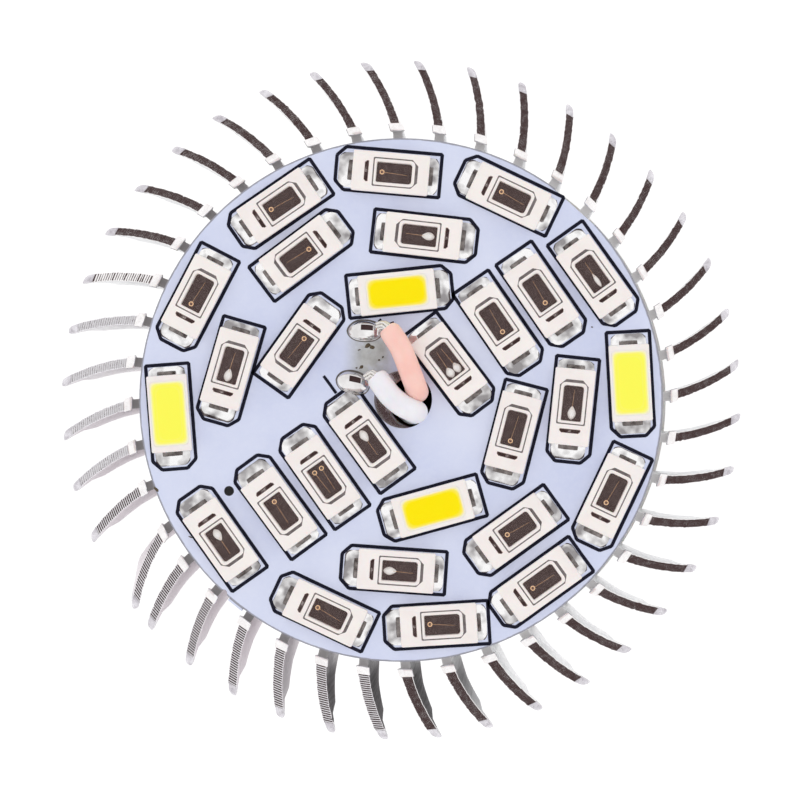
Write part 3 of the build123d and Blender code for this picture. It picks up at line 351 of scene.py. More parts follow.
def make_board():
    """White solder mask with a lavender cast, painted shade in a thin band along the punched rim, and flux left by hand
    soldering.
    """
    m = Mat("white_solder_mask", (0.60, 0.65, 0.84), 0.0, 0.34)
    x, y, z = m.axes()
    r = m.math("SQRT", m.math("ADD", m.math("MULTIPLY", x, x), m.math("MULTIPLY", y, y)))
    cloud = m.noise(9.0, 3.0)
    mask = m.ramp(cloud, [(0.32, (0.620, 0.666, 0.872)), (0.70, (0.720, 0.759, 0.925))])
    mask = m.mix(m.span(m.noise(0.35, 4.0), 0.35, 0.75, 0.0, 0.16), mask, (0.79, 0.82, 0.95))
    # painted shade: the mask is painted grey in a thin band along the punched rim
    edge = m.span(m.math("ADD", r, m.math("MULTIPLY", m.math("SUBTRACT", m.noise(0.8, 3.0), 0.5), 0.00012)), RIM - 0.00016, RIM - 0.00008)
    edge = m.math("MULTIPLY", edge, m.span(r, RIM + 0.00002, RIM + 0.00006, 1.0, 0.0))
    mask = m.mix(m.math("MULTIPLY", edge, 0.85), mask, (0.24, 0.235, 0.27))
    # flux between the two wire joints
    fx = m.math("MULTIPLY", m.span(x, -0.0045, -0.0027), m.span(x, -0.0003, -0.0014))
    fy = m.math("MULTIPLY", m.span(y, 0.0010, 0.0022), m.span(y, 0.0058, 0.0040))
    patch = m.math("MULTIPLY", m.math("MULTIPLY", fx, fy), m.span(m.noise(1.1, 4.0), 0.22, 0.50, 0.45, 1.0))
    flux = m.ramp(m.noise(0.7, 4.0), [(0.30, (0.36, 0.36, 0.33)), (0.68, (0.53, 0.54, 0.52))])
    mask = m.mix(m.math("MULTIPLY", patch, 0.9), mask, flux)
    # cut edge: resin layer over the metal core
    side = m.span(z, 0.07990, 0.07982)
    core = m.ramp(m.noise(0.25, 3.0, 0.6, (1, 1, 0.3)), [(0.3, (0.34, 0.33, 0.33)), (0.7, (0.62, 0.61, 0.61))])
    m.color(m.mix(side, mask, core))
    m.link(m.math("MULTIPLY", side, 0.85), m.bsdf.inputs["Metallic"])
    m.rough(m.span(m.noise(2.2, 3.0), 0.3, 0.7, 0.28, 0.42))
    m.bump(m.noise(0.9, 2.0), 0.010, 0.35)
    m.bump(m.noise(0.10, 2.0), 0.002, 0.5)
    return m.mat


def make_body():
    """Moulded white LED housings, a little warm, with a fine matte skin."""
    m = Mat("led_moulding", (0.90, 0.83, 0.81), 0.0, 0.42, Subsurface_Weight=0.08, Subsurface_Scale=0.0002)
    tint = m.attr("tint")
    n = m.noise(1.3, 4.0)
    c = m.ramp(n, [(0.30, (0.872, 0.800, 0.780)), (0.70, (0.925, 0.868, 0.846))])
    c = m.mix(m.math("MULTIPLY", tint, 0.5), c, (0.93, 0.885, 0.845))
    m.color(c)
    m.rough(m.span(m.noise(0.4, 3.0), 0.3, 0.7, 0.36, 0.50))
    m.bump(m.noise(0.05, 2.0), 0.002, 0.6)
    return m.mat


def make_phosphor(name, centre, mid, rim):
    """Phosphor in silicone: strong colour in the middle, blurred towards the housing."""
    m = Mat(name, centre, 0.0, 0.30, Subsurface_Weight=0.10, Subsurface_Scale=0.0002, Specular_IOR_Level=0.12)
    e = m.math("ADD", m.attr("edge"), m.math("MULTIPLY", m.math("SUBTRACT", m.noise(0.9, 2.0), 0.5), 0.06))
    m.color(m.ramp(e, [(0.0, centre), (0.30, centre), (0.62, mid), (0.95, rim)]))
    m.rough(m.span(m.noise(0.5, 3.0), 0.3, 0.7, 0.34, 0.44))
    m.bump(m.noise(0.5, 2.0), 0.002, 0.3)
    return m.mat


def make_solder(name, rough, dull, texture):
    m = Mat(name, (0.80, 0.79, 0.79), 1.0, sum(rough) / 2)
    n = m.noise(0.45, 4.0, 0.6)
    m.color(m.ramp(m.noise(1.3, 2.0), [(0.36, dull), (0.60, (0.90, 0.89, 0.89))]))
    m.rough(m.span(n, 0.3, 0.7, rough[0], rough[1]))
    m.bump(m.noise(0.5, 2.0), texture, 0.5)
    return m.mat


def make_plastic():
    """Satin moulded plastic of the neck, with a fine eroded texture and faint flow clouds."""
    m = Mat("white_housing", (0.86, 0.86, 0.845), 0.0, 0.40, Subsurface_Weight=0.05, Subsurface_Scale=0.0008)
    m.color(m.ramp(m.noise(11.0, 3.0), [(0.3, (0.725, 0.722, 0.700)), (0.7, (0.780, 0.778, 0.762))]))
    m.rough(m.span(m.noise(3.0, 4.0), 0.3, 0.7, 0.33, 0.47))
    m.bump(m.noise(0.16, 3.0), 0.010, 0.5)
    m.bump(m.noise(6.0, 2.0), 0.020, 0.4)
    return m.mat


def make_cap():
    """Nickel-plated rolled cap: streaks around the axis, fine scuffs on the crests."""
    m = Mat("cap_metal", (0.80, 0.785, 0.76), 1.0, 0.22)
    x, y, z = m.axes()
    r = m.math("SQRT", m.math("ADD", m.math("MULTIPLY", x, x), m.math("MULTIPLY", y, y)))
    crest = m.span(m.math("ADD", r, m.math("MULTIPLY", m.noise(0.8, 4.0), 0.0003)), 0.01300, 0.01328)
    streak = m.noise(0.25, 4.0, 0.6, (0.06, 0.06, 1))
    c = m.ramp(streak, [(0.30, (0.46, 0.445, 0.425)), (0.68, (0.64, 0.625, 0.60))])
    m.color(m.mix(m.math("MULTIPLY", crest, 0.5), c, (0.40, 0.385, 0.36)))
    m.rough(m.math("ADD", m.span(streak, 0.3, 0.7, 0.15, 0.26), m.math("MULTIPLY", crest, 0.12)))
    m.bump(streak, 0.004, 0.6)
    return m.mat


def make_rubber(name, base, other):
    m = Mat(name, base, 0.0, 0.38, Subsurface_Weight=0.20, Subsurface_Scale=0.0006)
    m.color(m.ramp(m.noise(1.4, 4.0), [(0.30, base), (0.70, other)]))
    m.rough(m.span(m.noise(0.5, 3.0), 0.3, 0.7, 0.32, 0.48))
    m.bump(m.noise(0.14, 3.0), 0.006, 0.5)
    return m.mat


M = {
    "turned": make_turned(),
    "extruded": make_extruded(),
    "pale_land": mottled("torn_land", (0.80, 0.78, 0.81), (0.90, 0.88, 0.91), 0.4, 1.0, (0.26, 0.32), 0.001, 0.2),
    # painted shade: a darker copy of the land colour, used on the lands of the lower fins
    "dark_land": mottled("torn_land_painted_shade", (0.72, 0.68, 0.70), (0.84, 0.80, 0.82), 0.4, 1.0, (0.10, 0.15), 0.001, 0.2),
    "torn": mottled("torn_ramp", (0.86, 0.85, 0.88), (0.94, 0.93, 0.95), 0.4, 1.0, (0.38, 0.46), 0.001, 0.2),
    "tip": mottled("rubbed_tip", (0.50, 0.47, 0.51), (0.84, 0.82, 0.86), 0.45, 0.35, (0.22, 0.40), 0.004, 0.2, Specular_IOR_Level=0.3),
    "seat": make_seat(),
    "board": make_board(),
    "body": make_body(),
    "plastic": make_plastic(),
    "cap": make_cap(),
    "joint": make_solder("solder", (0.12, 0.20), (0.30, 0.285, 0.29), 0.001),
    "dome": make_solder("solder_bright", (0.02, 0.05), (0.70, 0.68, 0.68), 0.0004),
    "pink": make_rubber("pink_insulation", (0.95, 0.56, 0.49), (0.97, 0.64, 0.57)),
    "white": make_rubber("white_insulation", (0.82, 0.815, 0.865), (0.89, 0.88, 0.92)),
    "warm": make_phosphor("warm_phosphor", (1.0, 0.805, 0.001), (1.0, 0.83, 0.12), (0.92, 0.85, 0.76)),
    "cool": make_phosphor("cool_phosphor", (0.99, 0.955, 0.10), (0.985, 0.93, 0.26), (0.93, 0.87, 0.72)),
    "ink": mottled("silk_ink", (0.004, 0.004, 0.014), (0.012, 0.012, 0.026), 0.5, rough=(0.55, 0.7), bump_mm=0.004, fine_mm=0.09, Specular_IOR_Level=0.12),
    "frame": mottled("plated_lead_frame", (0.58, 0.49, 0.47), (0.72, 0.64, 0.62), 0.5, 1.0, (0.07, 0.15), 0.002, 0.10),
    # painted reflection: the tabs are painted dark, with painted highlights in their mottling, in place of the dark
    # opening they reflect
    "tab": mottled("painted_reflection_tin", (0.050, 0.038, 0.036), (0.30, 0.27, 0.26), 0.55, 1.0, (0.18, 0.30), 0.001, 0.2),
    # painted shade: the dark line and grey band around the mouth of each cup
    "rim": mottled("painted_shade_rim", (0.085, 0.065, 0.065), (0.20, 0.17, 0.17), 0.3, rough=(0.30, 0.45)),
    "gold": mottled("bond_gold", (0.86, 0.52, 0.28), (0.95, 0.66, 0.42), 0.1, 1.0, (0.14, 0.26)),
    "die": mottled("red_die", (0.10, 0.045, 0.04), (0.17, 0.08, 0.07), 0.1, rough=(0.15, 0.25)),
    "irdie": mottled("ir_die", (0.05, 0.045, 0.05), (0.10, 0.09, 0.09), 0.1, rough=(0.15, 0.25)),
    "drop": mottled("white_die_glue", (0.90, 0.87, 0.84), (0.96, 0.94, 0.92), 0.3, rough=(0.16, 0.28)),
    "uvdrop": mottled("uv_die_glue", (0.90, 0.88, 0.86), (0.96, 0.95, 0.93), 0.3, rough=(0.16, 0.28)),
    "flux": mottled("flux_crumb", (0.045, 0.030, 0.015), (0.11, 0.075, 0.035), 0.15, rough=(0.25, 0.5)),
    # painted shadow: the dark outline around the feet of the wire joints
    "dome_shadow": mottled("painted_shadow_ring", (0.075, 0.065, 0.060), (0.16, 0.145, 0.135), 0.3, rough=(0.3, 0.5), bump_mm=0.006, fine_mm=0.12),
    "copper": mottled("tinned_copper", (0.72, 0.69, 0.66), (0.84, 0.82, 0.80), 0.2, 1.0, (0.16, 0.30), 0.01, 0.2),
    "insulator": mottled("cap_insulator", (0.010, 0.010, 0.012), (0.022, 0.021, 0.022), 1.5, rough=(0.12, 0.26), bump_mm=0.01, fine_mm=0.5),
    "contact": mottled("contact_metal", (0.72, 0.64, 0.46), (0.82, 0.76, 0.62), 1.2, 1.0, (0.18, 0.34), 0.008, 0.2),
}


# ------------------------------------------------------------------ heat sink
def fin_sides(turn):
    """Left and right side of a fin along +X: straight at the root, then one arc, as points in even steps."""
    out = []
    for sign in (1, -1):
        pts = []
        for i, (r, off, lean, half) in enumerate(FIN_LINE):
            a = math.radians(lean)
            p = np.array((r - sign * math.sin(a) * half, off + sign * math.cos(a) * half))
            if i > 0 and turn:
                c, s = math.cos(math.radians(turn)), math.sin(math.radians(turn))
                q = p - (BENT_PIVOT, 0.0)
                p = np.array((BENT_PIVOT + c * q[0] - s * q[1], s * q[0] + c * q[1]))
            pts.append(p)
        a, b, c = pts[1:]
        d = 2 * (a[0] * (b[1] - c[1]) + b[0] * (c[1] - a[1]) + c[0] * (a[1] - b[1]))
        u = np.array(((a @ a) * (b[1] - c[1]) + (b @ b) * (c[1] - a[1]) + (c @ c) * (a[1] - b[1]),
                      (a @ a) * (c[0] - b[0]) + (b @ b) * (a[0] - c[0]) + (c @ c) * (b[0] - a[0]))) / d
        ang = np.unwrap([math.atan2(*(p - u)[::-1]) for p in (a, b, c)])
        rad = np.linalg.norm(a - u)
        t = np.linspace(ang[0], ang[2], 60)
        arc = u + rad * np.stack([np.cos(t), np.sin(t)], 1)
        line = pts[0] + np.linspace(0, 1, 20, endpoint=False)[:, None] * (pts[1] - pts[0])
        out.append(np.concatenate([line, arc]))
    return out


STRAIGHT, BENT = fin_sides(0.0), fin_sides(BENT_TURN)


def fin_angles(bent, z):
    """For one level, the angles of the fin's two sides as functions of the radius."""
    w = min(max((z - Z_BEND) / (Z_FRONT - Z_BEND), 0.0), 1.0) if bent else 0.0
    res = []
    for a, b in zip(STRAIGHT, BENT):
        p = a * (1 - w) + b * w
        rad = np.hypot(p[:, 0], p[:, 1])
        res.append((np.maximum.accumulate(rad), np.arctan2(p[:, 1], p[:, 0])))
    return lambda r: (np.interp(r, *res[0]), np.interp(r, *res[1]))


def fin_mark(angle):
    """How strongly the tool marks stand on a fin: torn on the left and lower side, smooth elsewhere."""
    a = angle % 360.0
    return float(np.clip(min((a - 150) / 14, (272 - a) / 7), 0, 1))


def fin_bottom(r, zt):
    """Height of the turned outline under a fin."""
    if r <= FIN_REAR_R:
        return Z_REAR
    z = float(np.interp(r, [q[0] for q in OUTLINE], [q[1] for q in OUTLINE]))
    return min(z, zt - 0.06)


def make_sink():
    g = Mesher()
    pitch, n_mark = 0.158, 25
    ring_top, ring_levels = [], []
    for k in range(N_FINS):
        bent = k == BENT_FIN
        root = FIN_PHASE + 360.0 / N_FINS * k
        mark = fin_mark(root + 3)
        low = max(0.0, -math.sin(math.radians(root + 4)))
        # stations: radius, front level, kind (0 plain, 1 flat of a tool mark, 2 ramp of a tool mark)
        st = [(CORE_R, Z_SEAT, 0), (18.4, Z_SEAT, 0), (19.3, Z_SEAT, 0), (RECESS_R - 0.012, Z_SEAT, 0),
              (RECESS_R, Z_FRONT - 0.33, 0), (RECESS_R + 0.06, Z_FRONT - 0.285, 0), (RECESS_R + 0.25, Z_FRONT - 0.185, 0),
              (RECESS_R + 0.44, Z_FRONT - 0.095, 0), (RECESS_R + 0.53, Z_FRONT - 0.05, 0)]
        r0 = RECESS_R + LIP + 0.03
        # each mark: a land that falls gently outwards, a ramp that rises again, and a small step
        lean = (22.5 - VIEW_X * math.cos(math.radians(root + 4)) - VIEW_Y * math.sin(math.radians(root + 4))) / VIEW_D
        flat = 0.52 + 0.18 * low ** 2 if low < 0.72 else 0.56
        for i in range(n_mark):
            land = mark * max(0.0, math.radians((13.1 if low < 0.32 else 10.2 if low < 0.72 else 5.2) + rng.normal(0, 0.35)) - lean) / 2
            ramp = mark * (math.radians(13.7 + rng.normal(0, 0.4)) + lean) / 2
            down = pitch * flat * math.tan(land)
            up = pitch * (0.96 - flat) * math.tan(ramp) + 0.0003
            at = r0 + i * pitch
            st += [(at, Z_FRONT - up + down - 0.002, 1), (at + pitch * flat, Z_FRONT - up - 0.002, 2), (at + pitch * 0.96, Z_FRONT - 0.002, 1)]
        for t in (0, 10, 20, 32, 45, 60, 75, 90):
            st.append((FIN_R - TIP + TIP * math.sin(math.radians(t)), Z_FRONT - TIP + TIP * math.cos(math.radians(t)), 0))
        levels = [0.0, 0.10, 0.55, 2.2] if not bent else [0.0, 0.10, 0.55, 1.6, 3.0, 4.4, 5.8, 7.2, 8.6, 10.0, 11.4, 13.0]
        cut = {}
        rag = rng.normal(0, 1, (2, len(st)))
        rag = (rag + np.roll(rag, 1, 1) + np.roll(rag, 2, 1)) / 1.8
        notch = [(rng.uniform(20.9, 24.2), rng.integers(0, 2), rng.uniform(0.05, 0.15), rng.uniform(-0.15, 0.26)) for _ in range(rng.integers(2, 5))]
        flare = rng.uniform(0.75, 1.25, 2)
        smear = 0.025 + 0.05 * low ** 3
        hook = rng.uniform(-0.10, 0.14)
        loops, kinds = [], []
        for j, (r, zt, kind) in enumerate(st):
            zb = fin_bottom(r, zt)
            deep = zt - zb
            sides = []
            for i, lv in enumerate(levels + [deep]):
                z = zt - min(lv, deep * (i / len(levels)) ** 1.5) if i < len(levels) else zb
                key = round(z, 3) if bent else 0
                if key not in cut:
                    cut[key] = fin_angles(bent, z)
                sides.append((z, *map(float, cut[key](r))))
            # the tip is rounded off, some tips are knocked to one side
            if r > FIN_R - 0.40:
                w = (r - FIN_R + 0.40) / 0.41
                keep = math.sqrt(max(0.16, 1 - w ** 3))
                sides = [(z, (al + ar) / 2 + (al - ar) / 2 * keep + hook * w * w / r, (al + ar) / 2 - (al - ar) / 2 * keep + hook * w * w / r) for z, al, ar in sides]
            # burrs: thrown out beside the recess's mouth, ragged along the strip
            burr = [0.0, 0.0]
            if RECESS_R - 0.005 <= r <= r0 - 0.005:
                burr = [0.15 * flare[0], 0.20 * flare[1]]
            elif r0 - 0.005 < r < FIN_R - TIP + 0.02:
                burr = [smear + 0.010 * rag[0, j], smear + 0.012 * rag[1, j]]
                for at, side, wide, deep_n in notch:
                    if abs(r - at) < wide:
                        burr[side] -= deep_n * 0.35 * (1 - abs(r - at) / wide)
            seat = r < RECESS_R
            soft = 0.0 if seat else 0.035
            z0, al, ar = sides[0]
            al += burr[0] / r
            ar -= burr[1] / r
            inner = min(0.045 / r, (al - ar) * 0.3)
            # right edge to left edge (counter-clockwise), seen from the front
            top = [(ang, zt - dz) for ang, dz in ((ar, soft), (ar + inner, 0.0), ((al + ar) / 2, 0.0), (al - inner, 0.0), (al, soft))]
            left = [(a_l, min(z, zt - soft - 0.004)) for z, a_l, a_r in sides[1:]]
            right = [(a_r, min(z, zt - soft - 0.004)) for z, a_l, a_r in sides[1:]]
            if not seat:
                left[0] = (left[0][0] + burr[0] / r * 0.35, left[0][1])
                right[0] = (right[0][0] - burr[1] / r * 0.35, right[0][1])
            base = math.radians(root)
            loops.append(g.loop([(r * math.cos(base + q), r * math.sin(base + q), z) for q, z in top + left + right[::-1]]))
            kinds.append(kind)
        n_top, n_side = 5, len(levels)
        n = len(loops[0])
        for j in range(len(loops) - 1):
            a, b = loops[j], loops[j + 1]
            for i in range(n):
                i2 = (i + 1) % n
                if i < n_top - 1:
                    mat, smooth = (6 if j < 3 else 0), kinds[j] == 0
                    if kinds[j] and mark > 0.6:
                        # painted shade: the lands on the lower fins take the darker copy of the land colour
                        mat = 5 if kinds[j] == 2 else 3 if low < 0.32 else 4
                elif i == n_top - 1 + n_side:
                    mat, smooth = 0, True
                else:
                    mat, smooth = 1, True
                if j > len(loops) - 9:
                    mat = 2
                g.face((a[i], b[i], b[i2], a[i2]), mat, smooth)
        g.face(loops[-1], 2, True)
        first = loops[0]
        ring_top.append(first[:n_top])
        ring_levels.append(([first[0]] + first[n_top + n_side:][::-1], [first[n_top - 1]] + first[n_top:n_top + n_side]))
    # core wall between the fins; the bent fin has more levels than its neighbours
    tops, bottoms = [], []
    for k in range(N_FINS):
        a = ring_levels[k][1]
        b = ring_levels[(k + 1) % N_FINS][0]
        m = min(len(a), len(b))
        a2 = a[:m - 1] + a[-1:]
        b2 = b[:m - 1] + b[-1:]
        cols = [a2]
        ang_a = math.atan2(g.v[a2[0]][1], g.v[a2[0]][0])
        ang_b = math.atan2(g.v[b2[0]][1], g.v[b2[0]][0])
        if ang_b < ang_a:
            ang_b += 2 * math.pi
        for t in (0.25, 0.5, 0.75):
            an = ang_a + (ang_b - ang_a) * t
            cols.append(g.loop([(CORE_R * math.cos(an), CORE_R * math.sin(an), g.v[i][2]) for i in a2]))
        cols.append(b2)
        for c0, c1 in zip(cols[:-1], cols[1:]):
            for i in range(m - 1):
                lower0 = a[m - 1:] if c0 is a2 and i == m - 2 else [c0[i + 1]]
                lower1 = b[m - 1:] if c1 is b2 and i == m - 2 else [c1[i + 1]]
                g.face([c0[i]] + lower0 + lower1[::-1] + [c1[i]], 1, True)
        tops += ring_top[k] + [c[0] for c in cols[1:-1]]
        bottoms += [ring_levels[k][0][-1], ring_levels[k][1][-1]] + [c[-1] for c in cols[1:-1]]

    def circle(like, r, z, at=(0.0, 0.0)):
        return g.loop([(at[0] + r * math.cos(t), at[1] + r * math.sin(t), z) for t in (math.atan2(g.v[i][1], g.v[i][0]) for i in like)])

    # seat, web, wire hole, bore and rear face
    prev = tops
    hx, hy, hr = WIRE_HOLE
    for r, z in ((16.9, Z_SEAT), (hr + 0.12, Z_SEAT), (hr, Z_SEAT - 0.12), (hr, Z_WEB + 0.15), (hr + 0.15, Z_WEB)):
        cur = circle(tops, r, z, (hx, hy) if r < 5 else (0.0, 0.0))
        g.bridge(prev, cur, 0, r < hr + 0.1)
        prev = cur
    under = prev
    prev = bottoms
    for r, z in ((BORE_R + 0.2, Z_REAR), (BORE_R, Z_REAR + 0.2), (BORE_R, Z_WEB - 0.3), (BORE_R - 0.3, Z_WEB)):
        cur = circle(bottoms, r, z)
        g.bridge(prev, cur, 0 if z < 60 else 1, 0.1 < z - Z_REAR < 20)
        prev = cur
    g.holes(prev, [under], 0, False, True)
    ob = g.build("heat_sink_body", [M["turned"], M["extruded"], M["tip"], M["pale_land"], M["dark_land"], M["torn"], M["seat"]], sharp=32, recalc=True)
    return piece(ob, "sink_aluminium", "heat_sink")


make_sink()

# ------------------------------------------------------------------ LED packages
LED_TOP = 0.85


def clear_body():
    g = Mesher()
    outer = [g.loop(rect(-hx, hx, hy, z, ("r", r), ("r", r))) for hx, hy, z, r in (
        (2.81, 1.46, 0.06, 0.10), (2.845, 1.495, 0.36, 0.12), (2.85, 1.50, 0.385, 0.12), (2.85, 1.50, 0.42, 0.12),
        (2.83, 1.48, 0.795, 0.11), (2.817, 1.467, 0.832, 0.10), (2.785, 1.435, LED_TOP, 0.08))]
    g.face(outer[0][::-1], 0, False)
    for a, b in zip(outer[:-1], outer[1:]):
        g.bridge(a, b, 0)
    # mouth of the cup: a thin dark line of painted shade at the silicone's edge, broad at the bevelled end, then the
    # white reflector walls
    w0 = g.loop(rect(-2.02, 1.32, 1.07, LED_TOP, ("r", 0.09), ("c", 0.45)))
    w1 = g.loop(rect(-1.80, 1.225, 0.975, 0.800, ("r", 0.10), ("r", 0.34)))
    w2 = g.loop(rect(-1.79, 1.215, 0.965, 0.795, ("r", 0.10), ("r", 0.33)))
    w3 = g.loop(rect(-1.60, 1.070, 0.775, 0.735, ("r", 0.10), ("r", 0.22)))
    w4 = g.loop(rect(-1.56, 1.04, 0.73, 0.245, ("r", 0.10), ("r", 0.20)))
    s0 = g.loop(rect(1.62, 1.96, 0.80, LED_TOP, ("c", 0.15), ("r", 0.04)))
    s1 = g.loop(rect(1.63, 1.945, 0.785, 0.82, ("c", 0.145), ("r", 0.04)))
    s2 = g.loop(rect(1.665, 1.925, 0.76, 0.66, ("c", 0.14), ("r", 0.04)))
    g.holes(outer[-1], [w0, s0], 0, False)
    g.bridge(w0, w1, 1)
    g.bridge(w1, w2, 0)
    g.bridge(w2, w3, 0)
    g.bridge(w3, w4, 0)
    g.bridge(s0, s1, 0)
    g.bridge(s1, s2, 2)
    # plated metal at the bottom of the mark slot, a little dished
    mid = g.loop([(1.795 + (g.v[i][0] - 1.795) * 0.75, g.v[i][1] * 0.30, 0.655) for i in s2])
    top = g.loop([(1.795 + (g.v[i][0] - 1.795) * 0.30, g.v[i][1] * 0.10, 0.675) for i in s2])
    g.bridge(s2, mid, 2)
    g.bridge(mid, top, 2)
    g.face(top, 2, True)
    # plated lead frame forms the cup's floor
    g.face(w4, 2, True)
    return g


def wide_body(length, width, radius):
    g = Mesher()
    outer = [g.loop(rect(-hx, hx, hy, z, ("r", r), ("r", r))) for hx, hy, z, r in (
        (2.81, 1.46, 0.06, 0.10), (2.845, 1.495, 0.36, 0.12), (2.85, 1.50, 0.385, 0.12), (2.85, 1.50, 0.42, 0.12),
        (2.83, 1.48, 0.795, 0.11), (2.817, 1.467, 0.832, 0.10), (2.785, 1.435, LED_TOP, 0.08))]
    g.face(outer[0][::-1], 0, False)
    for a, b in zip(outer[:-1], outer[1:]):
        g.bridge(a, b, 0)
    hx, hy = length / 2, width / 2
    w0 = g.loop(rect(-hx, hx, hy, LED_TOP, ("r", radius), ("r", radius)))
    w1 = g.loop(rect(-hx + 0.02, hx - 0.02, hy - 0.02, 0.80, ("r", radius), ("r", radius)))
    w2 = g.loop(rect(-hx + 0.28, hx - 0.28, hy - 0.28, 0.26, ("r", radius * 0.7), ("r", radius * 0.7)))
    g.holes(outer[-1], [w0], 0, False)
    g.bridge(w0, w1, 0)
    g.bridge(w1, w2, 0)
    g.face(w2, 2, True)
    return g


def place_all(template, kinds):
    g, tint = Mesher(), []
    for kind, x, y, turn, _, _ in LEDS:
        if kind in kinds:
            t = template[kind] if isinstance(template, dict) else template
            g.add(t, turn, (x, y, Z_BOARD))
            tint += [rng.random()] * len(t.v)
    return g, tint


CLEAR_KINDS = ("red", "blue", "uv", "ir")
g, tint = place_all(clear_body(), CLEAR_KINDS)
piece(g.build("led_bodies", [M["body"], M["rim"], M["frame"]], sharp=35, recalc=True, attrs={"tint": tint}), "led_moulding", "led_housings")
g, tint = place_all({"warm": wide_body(4.60, 2.42, 0.40), "cool": wide_body(4.80, 2.66, 0.30)}, ("warm", "cool"))
piece(g.build("white_led_bodies", [M["body"], M["rim"], M["frame"]], sharp=35, recalc=True, attrs={"tint": tint}), "led_moulding", "white_led_housings")


# terminals: plated tabs that come out under each end, with rounded edges
def terminal():
    """Plated tab under each end: flat on top, its corners and front edge rounded."""
    g = Mesher()
    for sgn, half, reach in ((1, 0.74, 3.15), (-1, 0.66, 3.12)):
        rows = []
        for inset, z in ((0.0, 0.055), (0.0, 0.185), (0.012, 0.222), (0.045, 0.240)):
            x1 = reach - inset
            rows.append(g.loop([(sgn * x, y * sgn, z) for x, y, _ in rect(2.60, x1, half - inset, 0, ("r", 0.09), ("r", 0.02))]))
        for a, b in zip(rows[:-1], rows[1:]):
            g.bridge(a, b)
        g.face(rows[-1], 0, False)
        g.face(rows[0][::-1], 0, False)
    return g


g, _ = place_all(terminal(), CLEAR_KINDS + ("warm", "cool"))
piece(g.build("led_terminals", [M["tab"]], sharp=40, recalc=True), "plated_lead_frame", "led_lead_frames")


# solder at both ends of each package, every joint a little different
def joint(seed, length, half):
    """A fillet as wide as the pad: level with the tab beside it, then down to the pad's edge, with soft dents."""
    g = Mesher()
    r = np.random.default_rng(seed)
    nu, nv = 21, 45
    crown, lean, power = r.uniform(0.185, 0.225), r.uniform(-0.14, 0.14), r.uniform(1.05, 1.65)
    wide = r.uniform(1.30, 1.36)
    grid = []
    for i in range(nu):
        row = []
        a = i / (nu - 1)
        for j in range(nv):
            b = -1 + 2 * j / (nv - 1)
            corner = 1 - 0.30 * max(0.0, abs(b) - 0.66) ** 2 / 0.1156
            reach = length * corner * (1 + 0.025 * lump(b * 2, 0, 0, 1.0, seed))
            u = 0.02 + a * (reach - 0.02)
            v = b * wide * (1 - 0.03 * a * a)
            # how far from the tab towards the pad's edge
            du = max(0.0, u - 0.31) / max(reach - 0.31, 0.05)
            dv = max(0.0, abs(v) - half) / (wide - half)
            far = min(1.0, (du ** 2.4 + dv ** 2.4) ** (1 / 2.4))
            h = 0.016 + (crown - 0.016) * (1 - far) ** power * (1 + lean * b)
            on_tab = math.exp(-(v / half) ** 8) * math.exp(-(u / 0.31) ** 8)
            h -= 0.035 * on_tab
            soft = (1 - b ** 4) * min(1.0, 5 * (1 - a)) * (1 - on_tab)
            h += (0.030 * lump(u * 1.5, v * 0.9, 0, 1.0, seed + 5) + 0.007 * lump(u * 3.5, v * 2.5, 3, 1.0, seed + 9)) * soft
            if i == nu - 1 or j in (0, nv - 1):
                h = 0.012
            row.append((2.82 + u, v, min(max(h, 0.016), 0.36)))
        grid.append(g.loop(row))
    for a, b in zip(grid[:-1], grid[1:]):
        g.bridge(a, b, 0, True, False)
    rim = [row[0] for row in grid] + grid[-1][1:] + [row[-1] for row in grid[::-1][1:]] + grid[0][1:-1][::-1]
    foot = g.loop([(g.v[i][0], g.v[i][1], 0.0) for i in rim])
    g.bridge(rim, foot, 0, True)
    g.face(foot, 0, False)
    return g


g = Mesher()
for n, (kind, x, y, turn, du, dv) in enumerate(LEDS):
    g.add(joint(2 * n, min(0.86 + du, 1.06), 0.74), turn, (x, y, Z_BOARD))
    g.add(joint(2 * n + 1, min(0.90 - du, 0.86), 0.66), turn + 180, (x, y, Z_BOARD))
piece(g.build("led_solder", [M["joint"]], sharp=60, recalc=True), "solder", "led_solder_joints")


# ------------------------------------------------------------------ chips, glue drops and bond wires
def tube(g, pts, radius, sides=6, mat=0):
    pts = [np.array(p, float) for p in pts]
    prev = None
    loops = []
    for i, p in enumerate(pts):
        d = pts[min(i + 1, len(pts) - 1)] - pts[max(i - 1, 0)]
        d /= np.linalg.norm(d)
        n = np.cross(d, (0, 0, 1.0)) if prev is None else prev - d * (prev @ d)
        if np.linalg.norm(n) < 1e-6:
            n = np.cross(d, (1.0, 0, 0))
        n /= np.linalg.norm(n)
        prev = n
        b = np.cross(d, n)
        loops.append(g.loop([p + radius * (math.cos(t) * n + math.sin(t) * b) for t in np.arange(sides) * 2 * math.pi / sides]))
    for a, b in zip(loops[:-1], loops[1:]):
        g.bridge(a, b, mat)
    g.face(loops[0][::-1], mat)
    g.face(loops[-1], mat)


def arch(p, q, rise, n=9):
    p, q = np.array(p, float), np.array(q, float)
    return [p + (q - p) * t + np.array((0, 0, rise * math.sin(math.pi * t ** 0.7))) for t in np.linspace(0, 1, n)]


